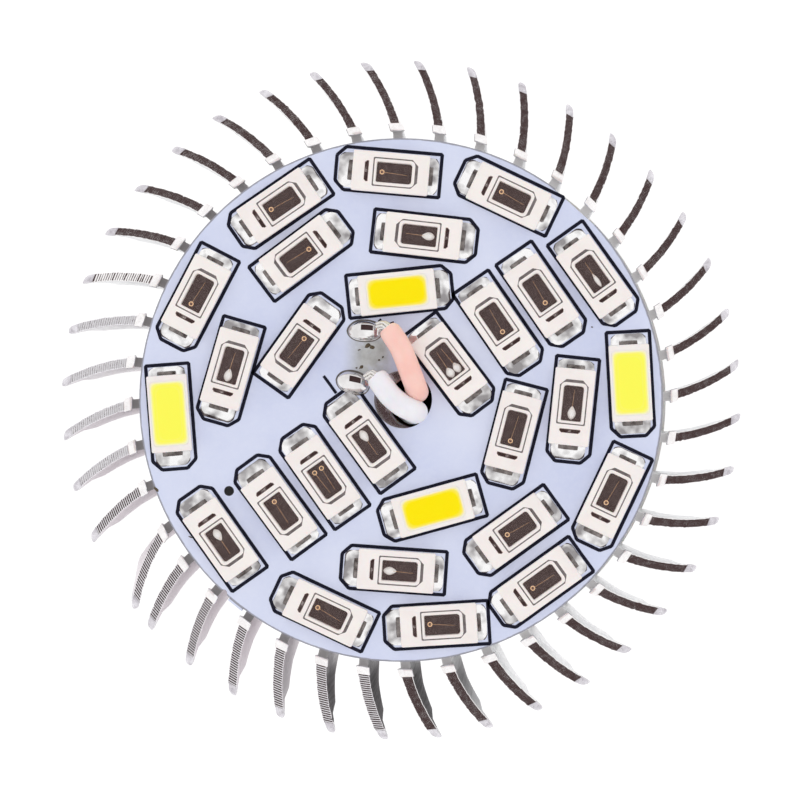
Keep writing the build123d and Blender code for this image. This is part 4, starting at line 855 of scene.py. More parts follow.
def chip(g, cx, cy, size, h, bond_to):
    """A bevelled chip with a raised gold ring, a ball and a bond wire."""
    z = 0.245
    a = g.loop(rect(cx - size / 2, cx + size / 2, size / 2, z, ("r", 0.02), ("r", 0.02)))
    b = g.loop(rect(cx - size / 2, cx + size / 2, size / 2, z + h * 0.85, ("r", 0.02), ("r", 0.02)))
    c = g.loop(rect(cx - size / 2 + 0.025, cx + size / 2 - 0.025, size / 2 - 0.025, z + h, ("r", 0.02), ("r", 0.02)))
    for lp in (a, b, c):
        for i in lp:
            g.v[i] = (g.v[i][0], g.v[i][1] + cy, g.v[i][2])
    g.face(a[::-1], 0, False)
    g.bridge(a, b, 0, False)
    g.bridge(b, c, 0, False)
    g.face(c, 0, False)
    rings = []
    for r, dz in ((0.185, 0.0), (0.180, 0.030), (0.150, 0.042), (0.115, 0.030), (0.105, 0.0)):
        rings.append(g.loop([(cx + r * math.cos(t), cy + r * math.sin(t), z + h + dz - 0.002) for t in np.arange(20) * math.pi / 10]))
    for p, q in zip(rings, rings[1:] + rings[:1]):
        g.bridge(p, q, 1)
    ball = []
    for r, dz in ((0.045, 0.0), (0.052, 0.02), (0.04, 0.045)):
        ball.append(g.loop([(cx + r * math.cos(t), cy + r * math.sin(t), z + h + dz) for t in np.arange(10) * math.pi / 5]))
    for p, q in zip(ball[:-1], ball[1:]):
        g.bridge(p, q, 1)
    g.face(ball[-1], 1)
    g.face(ball[0][::-1], 1)
    tube(g, arch((cx, cy, z + h + 0.03), bond_to, 0.16), 0.0075, 5, 1)


def drop(g, cx, cy, hl, hw, h, seed, tail):
    """A drop of clear-white glue over a chip, drawn to a point where the bond wire leaves it."""
    z = 0.245
    loops = []
    n = 24
    for lv in (0.0, 0.18, 0.40, 0.62, 0.80, 0.93):
        s = math.sqrt(max(0.0, 1 - lv * lv)) * (1 + 0.04 * (lv == 0))
        pts = []
        for t in np.arange(n) * 2 * math.pi / n:
            ca, sa = math.cos(t), math.sin(t)
            pull = 1 + 0.22 * max(0.0, -ca) ** 4
            wob = 1 + 0.05 * lump(ca, sa, lv, 1.3, seed)
            pts.append((cx + hl * s * ca * pull * wob, cy + hw * s * sa * (1 - 0.20 * ca * ca) * wob, z + h * lv))
        loops.append(g.loop(pts))
    for a, b in zip(loops[:-1], loops[1:]):
        g.bridge(a, b, 0)
    g.face(loops[-1], 0)
    g.face(loops[0][::-1], 0)
    if tail:
        tube(g, arch((cx - hl * 0.5, cy, z + h * 0.75), tail, 0.13), 0.009, 5, 1)


parts = {k: Mesher() for k in ("red", "blue", "uv", "ir")}
for n, (kind, x, y, turn, du, dv) in enumerate(LEDS):
    one = Mesher()
    jx, jy = rng.uniform(-0.05, 0.05), rng.uniform(-0.06, 0.06)
    if kind == "red":
        chip(one, 0.62 + jx, -0.06 + jy, 0.34, 0.14, (-1.25, 0.10, 0.25))
    elif kind == "blue":
        streak = abs(x - 14.31) < 0.1
        drop(one, (0.42 if streak else 0.50) + jx, jy * 0.6, 0.50 if streak else 0.42, 0.16 if streak else 0.29, 0.24, n, (-1.25, 0.04 + jy, 0.25))
    elif kind == "uv":
        drop(one, 0.60, -0.30, 0.36, 0.29, 0.26, n, (-1.25, -0.20, 0.25))
        drop(one, 0.59, 0.32, 0.36, 0.28, 0.26, n + 40, (-1.25, 0.22, 0.25))
    elif kind == "ir":
        chip(one, 0.60, -0.30, 0.36, 0.13, (-1.25, -0.22, 0.25))
        chip(one, 0.60, 0.31, 0.36, 0.13, (-1.25, 0.22, 0.25))
    else:
        continue
    parts[kind].add(one, turn, (x, y, Z_BOARD))
piece(parts["red"].build("red_chips", [M["die"], M["gold"]], sharp=40, recalc=True), "red_die", "red_dies")
piece(parts["blue"].build("blue_chips", [M["drop"], M["gold"]], sharp=60, recalc=True), "blue_die", "blue_dies")
piece(parts["uv"].build("uv_chips", [M["uvdrop"], M["gold"]], sharp=60, recalc=True), "uv_die", "uv_dies")
piece(parts["ir"].build("ir_chips", [M["irdie"], M["gold"]], sharp=40, recalc=True), "ir_die", "ir_dies")


# ------------------------------------------------------------------ silicone in the cups
def make_clear():
    m = Mat("clear_silicone", (0.35, 0.30, 0.29), 0.0, 0.05, IOR=1.41, Alpha=0.06)
    m.rough(m.span(m.noise(0.7, 3.0), 0.35, 0.7, 0.02, 0.08))
    m.bump(m.noise(0.9, 2.0), 0.006, 0.25)
    return m.mat


M["clear"] = make_clear()


def clear_fill():
    """Fills the cup; its sides lie just inside the walls, so that there is no film of air between them."""
    g = Mesher()
    low = g.loop(rect(-1.53, 1.01, 0.70, 0.25, ("r", 0.10), ("r", 0.20)))
    mid = g.loop(rect(-1.56, 1.03, 0.735, 0.72, ("r", 0.10), ("r", 0.22)))
    top = g.loop(rect(-1.585, 1.055, 0.760, 0.738, ("r", 0.10), ("r", 0.22)))
    t1 = g.loop(rect(-1.50, 0.97, 0.68, 0.728, ("r", 0.10), ("r", 0.20)))
    t2 = g.loop(rect(-1.35, 0.82, 0.54, 0.722, ("r", 0.10), ("r", 0.18)))
    t3 = g.loop(rect(-0.95, 0.40, 0.30, 0.720, ("r", 0.08), ("r", 0.12)))
    g.face(low[::-1], 0, False)
    g.bridge(low, mid)
    g.bridge(mid, top)
    g.bridge(top, t1)
    g.bridge(t1, t2)
    g.bridge(t2, t3)
    g.face(t3)
    return g


g, _ = place_all(clear_fill(), CLEAR_KINDS)
piece(g.build("clear_lenses", [M["clear"]], sharp=50, recalc=True), "clear_silicone", "clear_fills")


def phosphor(length, width, radius, blur, inner):
    g, edge = Mesher(), []
    hx, hy = length / 2, width / 2
    e = 0.006
    low = g.loop(rect(-hx + 0.30, hx - 0.30, hy - 0.30, 0.28, ("r", radius * 0.6), ("r", radius * 0.6)))
    edge += [0.0] * 16
    side = g.loop(rect(-hx + 0.02 + e, hx - 0.02 - e, hy - 0.02 - e, 0.80, ("r", radius), ("r", radius)))
    edge += [1.0] * 16
    g.face(low[::-1], 0, False)
    g.bridge(low, side)
    prev = side
    for t, ev in ((0.03, 1.0), (0.18, 0.93), (0.36, 0.78), (0.54, 0.62), (0.74, 0.46), (1.0, 0.30), (1.25, 0.20 + inner), (1.5, 0.20 + inner), (1.7, 0.10), (2.0, 0.02)):
        inset = t * blur
        rad = min(radius + 0.55 * min(inset, 0.35), 0.95 * (hy - inset))
        cur = g.loop(rect(-hx + inset, hx - inset, hy - inset, 0.843 - 0.018 * min(t, 1.0), ("r", rad), ("r", rad)))
        edge += [ev] * 16
        g.bridge(prev, cur)
        prev = cur
    g.face(prev)
    return g, edge


for kind, args, name, node in (("warm", (4.60, 2.42, 0.40, 0.36, 0.0), "warm_fill", "warm_phosphor"), ("cool", (4.80, 2.66, 0.30, 0.33, 0.16), "cool_fill", "cool_phosphor")):
    t, edge = phosphor(*args)
    g, _ = place_all(t, (kind,))
    piece(g.build(name, [M[kind]], sharp=50, recalc=False, attrs={"edge": edge * 2}), node, node)


# ------------------------------------------------------------------ print on the board
def ribbon(g, path, width, closed=True, seed=0, z0=Z_BOARD, thick=0.018):
    """A printed line with slightly uneven edges and mitred corners."""
    p = [np.array(q, float) for q in path]
    n = len(p)
    fine, corner = [], []
    for i in range(n if closed else n - 1):
        a, b = p[i], p[(i + 1) % n]
        steps = max(1, int(np.linalg.norm(b - a) / 0.35))
        for s in range(steps):
            fine.append(a + (b - a) * s / steps)
    if not closed:
        fine.append(p[-1])
    m = len(fine)
    outer, inner = [], []
    for i in range(m):
        a = fine[(i - 1) % m] if closed or i else fine[0]
        b = fine[i]
        c = fine[(i + 1) % m] if closed or i < m - 1 else fine[-1]
        d1, d2 = b - a, c - b
        if np.linalg.norm(d1) < 1e-9:
            d1 = d2
        if np.linalg.norm(d2) < 1e-9:
            d2 = d1
        d1, d2 = d1 / np.linalg.norm(d1), d2 / np.linalg.norm(d2)
        n1, n2 = np.array((d1[1], -d1[0])), np.array((d2[1], -d2[0]))
        mit = n1 + n2
        mit /= np.linalg.norm(mit)
        k = width / 2 / max(mit @ n1, 0.6)
        wo = 1 + 0.07 * lump(b[0], b[1], 0, 1.7, seed)
        wi = 1 + 0.07 * lump(b[0], b[1], 5, 1.7, seed)
        outer.append(b + mit * k * wo)
        inner.append(b - mit * k * wi)
    top_o = g.loop([(*q, z0 + thick) for q in outer])
    top_i = g.loop([(*q, z0 + thick) for q in inner])
    bot_o = g.loop([(*q, z0 - 0.01) for q in outer])
    bot_i = g.loop([(*q, z0 - 0.01) for q in inner])
    for a, b in ((top_i, top_o), (top_o, bot_o), (bot_o, bot_i), (bot_i, top_i)):
        g.bridge(a, b, 0, False, closed)
    if not closed:
        g.face((top_i[0], top_o[0], bot_o[0], bot_i[0]), 0, False)
        g.face((top_i[-1], bot_i[-1], bot_o[-1], top_o[-1]), 0, False)


def make_print():
    g = Mesher()
    hl, hw, ch = 3.88, 1.60, 0.66
    shape = [(-hl, -hw), (hl - ch, -hw), (hl, -hw + ch), (hl, hw - ch), (hl - ch, hw), (-hl, hw)]
    for n, (kind, x, y, turn, du, dv) in enumerate(LEDS):
        c, s = math.cos(math.radians(turn)), math.sin(math.radians(turn))
        path = []
        for i, (px, py) in enumerate(shape):
            # corners of the print are a little soft
            a, b = np.array(shape[i - 1]), np.array(shape[(i + 1) % len(shape)])
            q = np.array((px, py))
            for w in (a, b):
                d = (w - q) / np.linalg.norm(w - q)
                path.append(q + d * 0.07)
        ribbon(g, [(x + c * (px + du) - s * (py + dv), y + s * (px + du) + c * (py + dv)) for px, py in path], 0.255, True, n)
    ribbon(g, [(-5.73, 1.78), (-5.25, 1.13), (-4.80, 0.50)], 0.22, False, 50)
    ribbon(g, [(-1.62, 5.96), (-1.16, 5.44), (-0.50, 5.72)], 0.26, False, 51)
    return piece(g.build("board_print", [M["ink"]], sharp=40, recalc=True), "white_solder_mask")


make_print()


# flux crumbs and specks left on the mask
def make_crumbs():
    g = Mesher()
    for n, (x, y, a, b, turn) in enumerate((
            (-2.44, 4.03, 0.26, 0.14, 30), (-2.12, 3.90, 0.20, 0.13, -10), (-2.93, 2.45, 0.20, 0.12, 40), (-3.30, 2.38, 0.08, 0.06, 0),
            (-1.62, 2.96, 0.10, 0.07, 10), (-1.34, 3.18, 0.09, 0.06, 60), (-3.08, 3.72, 0.12, 0.05, 15), (-1.02, 4.02, 0.08, 0.06, 0),
            (-18.12, -6.62, 0.24, 0.11, -50), (-15.60, -10.15, 0.16, 0.05, -25), (14.15, 5.40, 0.08, 0.05, 0))):
        loops = []
        for s, z in ((1.0, -0.005), (0.92, 0.022), (0.60, 0.045), (0.25, 0.055)):
            loops.append(g.loop([(x + s * (a * math.cos(t) * math.cos(math.radians(turn)) - b * math.sin(t) * math.sin(math.radians(turn))) * (1 + 0.45 * lump(math.cos(t), math.sin(t), 0, 1.4, n)),
                                               y + s * (a * math.cos(t) * math.sin(math.radians(turn)) + b * math.sin(t) * math.cos(math.radians(turn))) * (1 + 0.45 * lump(math.cos(t), math.sin(t), 0, 1.4, n)),
                                               Z_BOARD + z) for t in np.arange(12) * math.pi / 6]))
        for p, q in zip(loops[:-1], loops[1:]):
            g.bridge(p, q)
        g.face(loops[-1])
        g.face(loops[0][::-1])
    return piece(g.build("flux_crumbs", [M["flux"]], sharp=50, recalc=True), "solder")


make_crumbs()
nodes["led_board"].data.materials.clear()
nodes["led_board"].data.materials.append(M["board"])


# ------------------------------------------------------------------ supply wires
PINK = [(-3.1, 5.20, 80.38), (-2.3, 5.22, 80.52), (-1.75, 5.42, 80.78), (-1.30, 5.60, 81.08), (-0.98, 5.40, 81.33), (-0.55, 4.75, 81.58), (0.0, 3.95, 81.72), (0.46, 2.80, 81.75), (0.90, 1.60, 81.62),
        (1.24, 0.66, 81.15), (1.24, 0.58, 80.1), (1.05, 0.80, 78.4), (0.92, 0.86, 74.4), (2.20, 1.90, 69.6), (3.50, 1.70, 65.5), (3.50, -1.35, 65.5)]
WHITE = [(-3.9, 1.30, 80.38), (-3.1, 1.36, 80.58), (-2.55, 1.62, 80.92), (-2.12, 1.98, 81.20), (-1.78, 1.72, 81.38), (-1.25, 0.98, 81.50), (-0.72, 0.25, 81.55), (0.12, -0.42, 81.50), (0.85, -0.76, 81.25),
         (1.22, -0.88, 80.85), (1.00, -0.92, 80.0), (0.80, -1.00, 78.4), (0.52, -0.92, 74.4), (-1.80, 1.10, 69.8), (-3.50, 1.70, 65.5), (-3.50, -1.35, 65.5)]


def spline_points(route, name):
    """Points along the smooth spline that has the route as its control points."""
    cu = bpy.data.curves.new(name, "CURVE")
    cu.dimensions = "3D"
    sp = cu.splines.new("NURBS")
    sp.points.add(len(route) - 1)
    for q, c in zip(sp.points, route):
        q.co = (c[0] * MM, c[1] * MM, c[2] * MM, 1.0)
    sp.order_u = 3
    sp.use_endpoint_u = True
    sp.resolution_u = 10
    ob = bpy.data.objects.new(name, cu)
    bpy.context.scene.collection.objects.link(ob)
    bpy.context.view_layer.update()
    me = bpy.data.meshes.new_from_object(ob)
    pts = np.array([v.co for v in me.vertices]) / MM
    bpy.data.objects.remove(ob)
    bpy.data.meshes.remove(me)
    return pts


def sleeve(name, pts, cut, radius, core, mat, slot, seed, *replaced):
    """Insulation from its cut end: uneven cut, slightly uneven skin."""
    d = np.concatenate([[0], np.cumsum(np.linalg.norm(np.diff(pts, axis=0), axis=1))])
    start = d[np.argmin(np.hypot(pts[:, 0] - cut[0], pts[:, 1] - cut[1]) + 10.0 * (pts[:, 2] < Z_BOARD))]
    t = np.arange(start, d[-1], 0.16)
    p = np.stack([np.interp(t, d, pts[:, i]) for i in range(3)], 1)
    g = Mesher()
    loops, prev, sides = [], None, 32
    for i in range(len(p)):
        dr = p[min(i + 2, len(p) - 1)] - p[max(i - 2, 0)]
        dr /= np.linalg.norm(dr)
        n = np.cross(dr, (0, 0, 1.0)) if prev is None else prev - dr * (prev @ dr)
        n /= np.linalg.norm(n)
        prev = n
        b = np.cross(dr, n)
        ring = []
        for a in np.arange(sides) * 2 * math.pi / sides:
            e = math.cos(a) * n + math.sin(a) * b
            q = p[i] + e * radius
            r = radius * (1 + 0.018 * lump(q[0], q[1], q[2], 0.55, seed)) * (1 - 0.10 * math.exp(-i / 0.8))
            shift = 0.10 * lump(math.cos(a), math.sin(a), 0, 1.0, seed + 3) if i == 0 else 0.0
            ring.append(p[i] + e * r + dr * shift)
        loops.append(g.loop(ring))
    for a, b in zip(loops[:-1], loops[1:]):
        g.bridge(a, b)
    # cut faces around the conductor
    for lp, pt in ((loops[0], p[0]), (loops[-1], p[-1])):
        hole = g.loop([pt + (np.array(g.v[i]) - pt) * core * 1.02 / radius for i in lp])
        g.bridge(lp, hole, 0, False)
        g.face(hole, 0, False)
    return piece(g.build(name, [mat], sharp=45, recalc=True), slot, *replaced)


def strands(name, pts, end, radius, slot, seed, *replaced):
    """Seven tinned strands twisted together."""
    d = np.concatenate([[0], np.cumsum(np.linalg.norm(np.diff(pts, axis=0), axis=1))])
    t = np.arange(end, d[-1] - 0.05, 0.30)
    p = np.stack([np.interp(t, d, pts[:, i]) for i in range(3)], 1)
    g = Mesher()
    tang = np.gradient(p, axis=0)
    tang /= np.linalg.norm(tang, axis=1)[:, None]
    side = np.cross(tang, (0.3, 0.2, 0.93))
    side /= np.linalg.norm(side, axis=1)[:, None]
    up = np.cross(tang, side)
    wire = radius / 3.0
    tube(g, p, wire, 8)
    for k in range(6):
        ph = k * math.pi / 3 + t * 1.1
        tube(g, p + (np.cos(ph)[:, None] * side + np.sin(ph)[:, None] * up) * wire * 1.95, wire, 8)
    return piece(g.build(name, [M["copper"]], sharp=60, recalc=True), slot, *replaced)


for tag, route, start, radius, seed in (("pink", PINK, (-0.87, 5.24), 0.82, 11), ("white", WHITE, (-1.80, 1.72), 0.85, 12)):
    pts = spline_points(route, tag + "_route")
    sleeve(tag + "_lead", pts, start, radius, 0.40, M[tag], tag + "_insulation", seed, tag + "_wire")
    strands(tag + "_strands", pts, 1.55, 0.37, "tinned_copper", seed, tag + "_conductor")


# solder joints of the two wires: a crest along the middle, nearly level above it, sloping below it
def dome(g, x, y, hl, up, down, h, turn, seed, skew):
    one = Mesher()
    nu, nv = 57, 41
    grid = []
    for i in range(nu):
        a = -1 + 2 * i / (nu - 1)
        s = a - 0.13
        over = max(0.0, abs(s) - 0.36) / (0.77 if s < 0 else 0.51)
        along = 1 - 0.86 * over ** 1.35
        leaf = max(0.0, 1 - abs(a) ** 2.6) ** 0.60 + 0.012
        row = []
        for j in range(nv):
            b = -1 + 2 * j / (nv - 1)
            if b >= 0:
                v = b * up * leaf
                f = 1 - 0.035 * b - 0.965 * (max(0.0, b - 0.60) / 0.40) ** 1.6
            else:
                t = -b
                v = -t * down * leaf
                f = 1 - 0.55 * t - 0.45 * t ** 3
            z = h * along * max(f, 0.0) + 0.006 * lump(a * 1.2, b, 0, 1.0, seed) * f
            if i in (0, nu - 1) or j in (0, nv - 1):
                z = 0.012
            row.append((a * hl, v + skew * a * hl * 0.5 - 0.06 * hl * a * a, max(z, 0.012)))
        grid.append(one.loop(row))
    for p, q in zip(grid[:-1], grid[1:]):
        one.bridge(p, q, 0, True, False)
    # a thin dark ring painted around the foot as a shadow line
    rim = [row[0] for row in grid] + grid[-1][1:] + [row[-1] for row in grid[::-1][1:]] + grid[0][1:-1][::-1]
    out = []
    for k, i in enumerate(rim):
        px, py, pz = one.v[i]
        w = 1.0 + 0.35 * lump(px, py, 0, 1.6, seed + 4)
        d = math.hypot(px / hl, py / ((up + down) / 2))
        out.append((px + 0.085 * w * px / hl / d, py + 0.085 * w * py / ((up + down) / 2) / d, 0.010))
    edge = one.loop(out)
    foot = one.loop([(px, py, -0.01) for px, py, pz in out])
    one.bridge(rim, edge, 1)
    one.bridge(edge, foot, 1)
    one.face(foot, 1, False)
    g.add(one, turn, (x, y, Z_BOARD))


g = Mesher()
dome(g, -2.67, 5.17, 1.26, 0.72, 0.78, 0.56, -2, 21, 0.0)
dome(g, -3.55, 1.33, 1.22, 0.78, 0.84, 0.60, -5, 22, -0.22)
ob = g.build("wire_solder", [M["dome"], M["dome_shadow"]], sharp=50, recalc=True)
piece(ob, "solder", "wire_solder_joints")


# ------------------------------------------------------------------ screw cap
def make_shell():
    """Rolled E27 shell: round thread that runs in and out, curled lower edge, punched skirt."""
    g = Mesher()
    seg, pitch, root, crest, t = 120, 3.63, 12.25, 13.15, 0.30
    z0, z1 = 9.75, 20.75
    punches = [(math.radians(20 + 45 * i), 24.75) for i in range(8)]

    def radius(th, z, inner):
        amp = (crest - root) / 2
        phase = 2 * math.pi * (z - z0) / pitch - th
        turns = (z - z0 - pitch * th / (2 * math.pi)) / pitch
        near = round(turns)
        along = near * 2 * math.pi + th
        total = (z1 - z0) / pitch * 2 * math.pi
        fade = 1.0
        if along < 0:
            fade = max(0.0, 1 + along / 0.9)
        elif along > total:
            fade = max(0.0, 1 - (along - total) / 0.9)
        w = fade * fade * (3 - 2 * fade)
        r = root + w * amp * (1 + math.cos(phase))
        return r - (t if inner else 0)

    rows = []
    outer_z = [8.5 + 0.2 * i for i in range(68)]
    for z in outer_z:
        rows.append(("t", z, False))
    prof_low = [(10.42, 6.42), (10.75, 6.40), (11.10, 6.52), (11.45, 6.78), (11.80, 7.18), (12.05, 7.62), (12.20, 8.10)]
    prof_high = [(12.30, 22.15), (12.55, 22.45), (12.85, 22.75), (13.03, 22.98), (13.10, 23.25), (13.10, 23.7), (13.10, 24.1), (13.10, 24.35), (13.10, 24.55), (13.10, 24.75), (13.10, 24.95),
                 (13.10, 25.15), (13.10, 25.4), (13.10, 25.9), (13.10, 26.25), (13.05, 26.37), (12.95, 26.40)]
    full = [("p", r, z) for r, z in prof_low] + [("t", None, z) for z in outer_z] + [("p", r, z) for r, z in prof_high]
    inner = [("p", 12.80, 26.30), ("p", 12.80, 23.2), ("p", 12.45, 22.7), ("p", 12.02, 22.2)] + [("t", None, z) for z in outer_z[::-1]] + \
            [("p", 11.92, 8.2), ("p", 11.70, 7.75), ("p", 11.45, 7.25), ("p", 11.10, 6.86), ("p", 10.75, 6.70), ("p", 10.45, 6.62)]
    loops = []
    for group, ins in ((full, False), (inner, True)):
        for kind, r, z in group:
            pts = []
            for k in range(seg):
                th = 2 * math.pi * k / seg
                rr = radius(th, z, ins) if kind == "t" else r
                if kind == "p" and z > 23.5 and not ins:
                    for pa, pz in punches:
                        da = (th - pa + math.pi) % (2 * math.pi) - math.pi
                        q = math.hypot(da * 13.1, z - pz)
                        if q < 0.75:
                            rr -= 0.26 * (0.5 + 0.5 * math.cos(math.pi * q / 0.75))
                pts.append((rr * math.cos(th), rr * math.sin(th), z))
            loops.append(g.loop(pts))
    for a, b in zip(loops, loops[1:] + loops[:1]):
        g.bridge(a, b)
    return piece(g.build("screw_shell", [M["cap"]], sharp=50, recalc=True), "cap_metal", "cap_shell")


make_shell()


def lathe(name, profile, mat, slot, seg, sharp, *replaced, wave=None):
    """Turns a closed (r, z) profile about the axis; points with r = 0 are single."""
    g = Mesher()
    loops = []
    for r, z in profile:
        if r < 1e-6:
            loops.append(g.loop([(0, 0, z)]))
        else:
            loops.append(g.loop([((r + (wave(2 * math.pi * k / seg, r, z) if wave else 0)) * math.cos(2 * math.pi * k / seg),
                                  (r + (wave(2 * math.pi * k / seg, r, z) if wave else 0)) * math.sin(2 * math.pi * k / seg), z) for k in range(seg)]))
    for a, b in zip(loops[:-1], loops[1:]):
        if len(a) == 1 and len(b) == 1:
            continue
        if len(a) == 1:
            for i in range(seg):
                g.face((a[0], b[i], b[(i + 1) % seg]))
        elif len(b) == 1:
            for i in range(seg):
                g.face((a[i], a[(i + 1) % seg], b[0]))
        else:
            g.bridge(a, b)
    return piece(g.build(name, [mat], sharp=sharp, recalc=True), slot, *replaced)


lathe("base_insulator", [(1.3, 1.62), (4.38, 1.60), (4.75, 1.52), (5.10, 1.36), (5.40, 1.30), (5.75, 1.48), (6.35, 2.12), (7.2, 2.93), (7.28, 3.08), (7.40, 3.16),
                         (8.6, 4.28), (9.88, 5.47), (10.16, 5.82), (10.33, 6.15), (10.35, 6.35), (10.35, 6.80), (10.6, 6.95), (11.02, 7.10), (11.1, 7.2), (11.1, 8.12), (11.02, 8.2),
                         (1.38, 8.2), (1.3, 8.12), (1.3, 1.62)],
      M["insulator"], "cap_insulator", 96, 30, "cap_insulator")
lathe("base_contact", [(0, 0.26), (0.55, 0.24), (0.95, 0.13), (1.25, 0.03), (1.50, 0.0), (3.40, 0.0), (3.62, 0.015), (3.85, 0.07), (4.06, 0.18), (4.22, 0.36), (4.33, 0.60), (4.39, 0.85), (4.40, 1.1),
                       (4.40, 1.48), (4.34, 1.56), (1.30, 1.58), (1.25, 1.66), (1.25, 5.92), (1.17, 6.0), (0.52, 6.0), (0.45, 5.92), (0.45, 5.0), (0, 5.0)],
      M["contact"], "contact_metal", 80, 40, "centre_contact")


# ------------------------------------------------------------------ neck and what is inside it
def parting_lines():
    """Witness lines of the two mould halves down the neck."""
    g = Mesher()
    neck = nodes["driver_housing"]
    bpy.context.view_layer.update()
    for turn in (97.0, 277.0):
        c, s = math.cos(math.radians(turn)), math.sin(math.radians(turn))
        rows = []
        for z in np.concatenate([np.arange(27.5, 51.0, 0.5), np.arange(51.0, 52.05, 0.15)]):
            hit, at, nor, _ = neck.ray_cast(Vector((c * 30, s * 30, z)) * MM, Vector((-c, -s, 0)), distance=28 * MM)
            if not hit:
                continue
            r = math.hypot(at.x, at.y) / MM
            prof = [(-0.13, -0.03), (-0.05, 0.038), (0.0, 0.050), (0.05, 0.038), (0.13, -0.03), (0.0, -0.10)]
            rows.append(g.loop([(c * (r + h) - s * w, s * (r + h) + c * w, z) for w, h in prof]))
        for a, b in zip(rows[:-1], rows[1:]):
            g.bridge(a, b)
        g.face(rows[0], 0, False)
        g.face(rows[-1], 0, False)
    return piece(g.build("neck_parting_lines", [M["plastic"]], sharp=50, recalc=True), "white_housing")


parting_lines()


def dress(node, mat):
    me = nodes[node].data
    me.materials.clear()
    me.materials.append(mat)


dress("driver_housing", M["plastic"])
dress("driver_cover", M["plastic"])
dress("thermal_paste", mottled("thermal_paste", (0.26, 0.25, 0.25), (0.36, 0.35, 0.35), 1.2, rough=(0.4, 0.6), bump_mm=0.03, fine_mm=0.5))
dress("fixing_screws", mottled("steel_screw", (0.56, 0.55, 0.52), (0.72, 0.71, 0.68), 0.6, 1.0, (0.2, 0.4), 0.01, 0.15))
dress("driver_board", mottled("driver_laminate", (0.42, 0.30, 0.13), (0.55, 0.41, 0.20), 2.0, rough=(0.35, 0.5), bump_mm=0.012, fine_mm=0.35))
dress("input_capacitor", mottled("capacitor_sleeve", (0.018, 0.030, 0.075), (0.030, 0.048, 0.11), 2.0, rough=(0.22, 0.36), bump_mm=0.01, fine_mm=0.4))
dress("output_capacitor", nodes["input_capacitor"].data.materials[0])
dress("inductor_core", mottled("ferrite", (0.030, 0.029, 0.031), (0.060, 0.058, 0.060), 0.8, rough=(0.45, 0.65), bump_mm=0.02, fine_mm=0.15))
dress("inductor_winding", mottled("copper_winding", (0.52, 0.20, 0.07), (0.68, 0.30, 0.12), 0.5, 1.0, (0.18, 0.32), 0.02, 0.2))
dress("fuse_resistor", mottled("resistor_coat", (0.09, 0.19, 0.15), (0.14, 0.26, 0.21), 1.0, rough=(0.3, 0.45), bump_mm=0.02, fine_mm=0.3))
dress("bridge_rectifier", mottled("chip_black", (0.014, 0.014, 0.015), (0.028, 0.028, 0.029), 0.6, rough=(0.5, 0.65), bump_mm=0.01, fine_mm=0.1))
dress("driver_chip", nodes["bridge_rectifier"].data.materials[0])
dress("small_components", mottled("ceramic_chip", (0.30, 0.21, 0.13), (0.42, 0.31, 0.20), 0.4, rough=(0.35, 0.5), bump_mm=0.008, fine_mm=0.1))
dress("driver_solder_joints", M["joint"])
dress("live_wire", make_rubber("red_insulation", (0.46, 0.020, 0.018), (0.58, 0.035, 0.030)))
dress("neutral_wire", make_rubber("blue_insulation", (0.020, 0.075, 0.38), (0.035, 0.11, 0.48)))
dress("input_conductors", M["copper"])


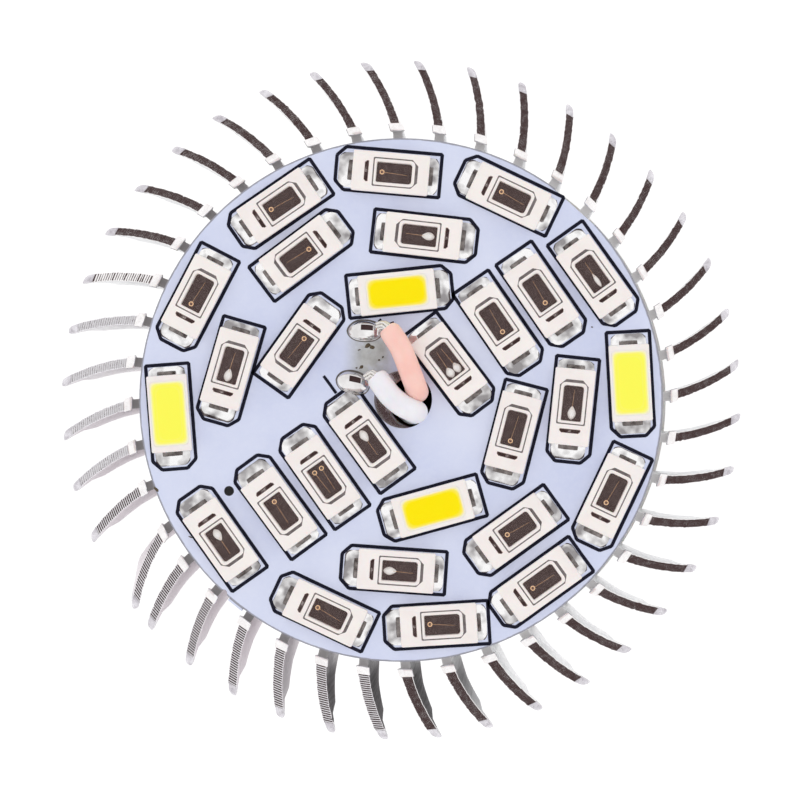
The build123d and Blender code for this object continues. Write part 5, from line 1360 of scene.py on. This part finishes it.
# ------------------------------------------------------------------ stage, light, camera
def make_floor():
    m = Mat("pale_floor", (0.60, 0.60, 0.60), 0.0, 0.75, Specular_IOR_Level=0.1)
    m.color(m.ramp(m.noise(40.0, 3.0), [(0.3, (0.585, 0.585, 0.585)), (0.7, (0.615, 0.615, 0.615))]))
    m.set("Emission Color", (1.0, 1.0, 1.0, 1.0))
    m.set("Emission Strength", 0.52)
    me = bpy.data.meshes.new("floor")
    n, half = 8, 2.0
    verts = [(-half + 2 * half * i / n, -half + 2 * half * j / n, -0.0004) for j in range(n + 1) for i in range(n + 1)]
    faces = [(j * (n + 1) + i, j * (n + 1) + i + 1, (j + 1) * (n + 1) + i + 1, (j + 1) * (n + 1) + i) for j in range(n) for i in range(n)]
    me.from_pydata(verts, [], faces)
    me.materials.append(m.mat)
    ob = bpy.data.objects.new("floor", me)
    bpy.context.scene.collection.objects.link(ob)


make_floor()


def make_world():
    """A white tent all around, with the dark opening for the lens straight above."""
    world = bpy.data.worlds.new("studio")
    bpy.context.scene.world = world
    world.use_nodes = True
    nt = world.node_tree
    bg = nt.nodes["Background"]
    tc = nt.nodes.new("ShaderNodeTexCoord")
    sep = nt.nodes.new("ShaderNodeSeparateXYZ")
    nt.links.new(tc.outputs["Generated"], sep.inputs[0])
    ramp = nt.nodes.new("ShaderNodeMapRange")
    ramp.interpolation_type = "SMOOTHSTEP"
    ramp.inputs["From Min"].default_value = math.cos(math.radians(15.0))
    ramp.inputs["From Max"].default_value = math.cos(math.radians(10.0))
    nt.links.new(sep.outputs[2], ramp.inputs["Value"])
    mix = nt.nodes.new("ShaderNodeMix")
    mix.data_type = "RGBA"
    mix.inputs[6].default_value = (1.0, 1.0, 1.0, 1.0)
    mix.inputs[7].default_value = (0.066, 0.042, 0.042, 1.0)
    nt.links.new(ramp.outputs["Result"], mix.inputs[0])
    nt.links.new(mix.outputs[2], bg.inputs["Color"])
    bg.inputs["Strength"].default_value = 1.05


make_world()

WIDTH = 800 / 13.5
cam = bpy.data.cameras.new("camera")
cam.sensor_width = 36.0
cam.lens = 36.0 * VIEW_D / WIDTH
cam.shift_x = -(VIEW_X + 1 / 13.5) / WIDTH
cam.shift_y = -VIEW_Y / WIDTH
cam.clip_start, cam.clip_end = 0.01, 20.0
ob = bpy.data.objects.new("camera", cam)
ob.location = (VIEW_X * MM, VIEW_Y * MM, (Z_FRONT + VIEW_D) * MM)
bpy.context.scene.collection.objects.link(ob)
bpy.context.scene.camera = ob
bpy.context.scene.view_settings.view_transform = "Standard"
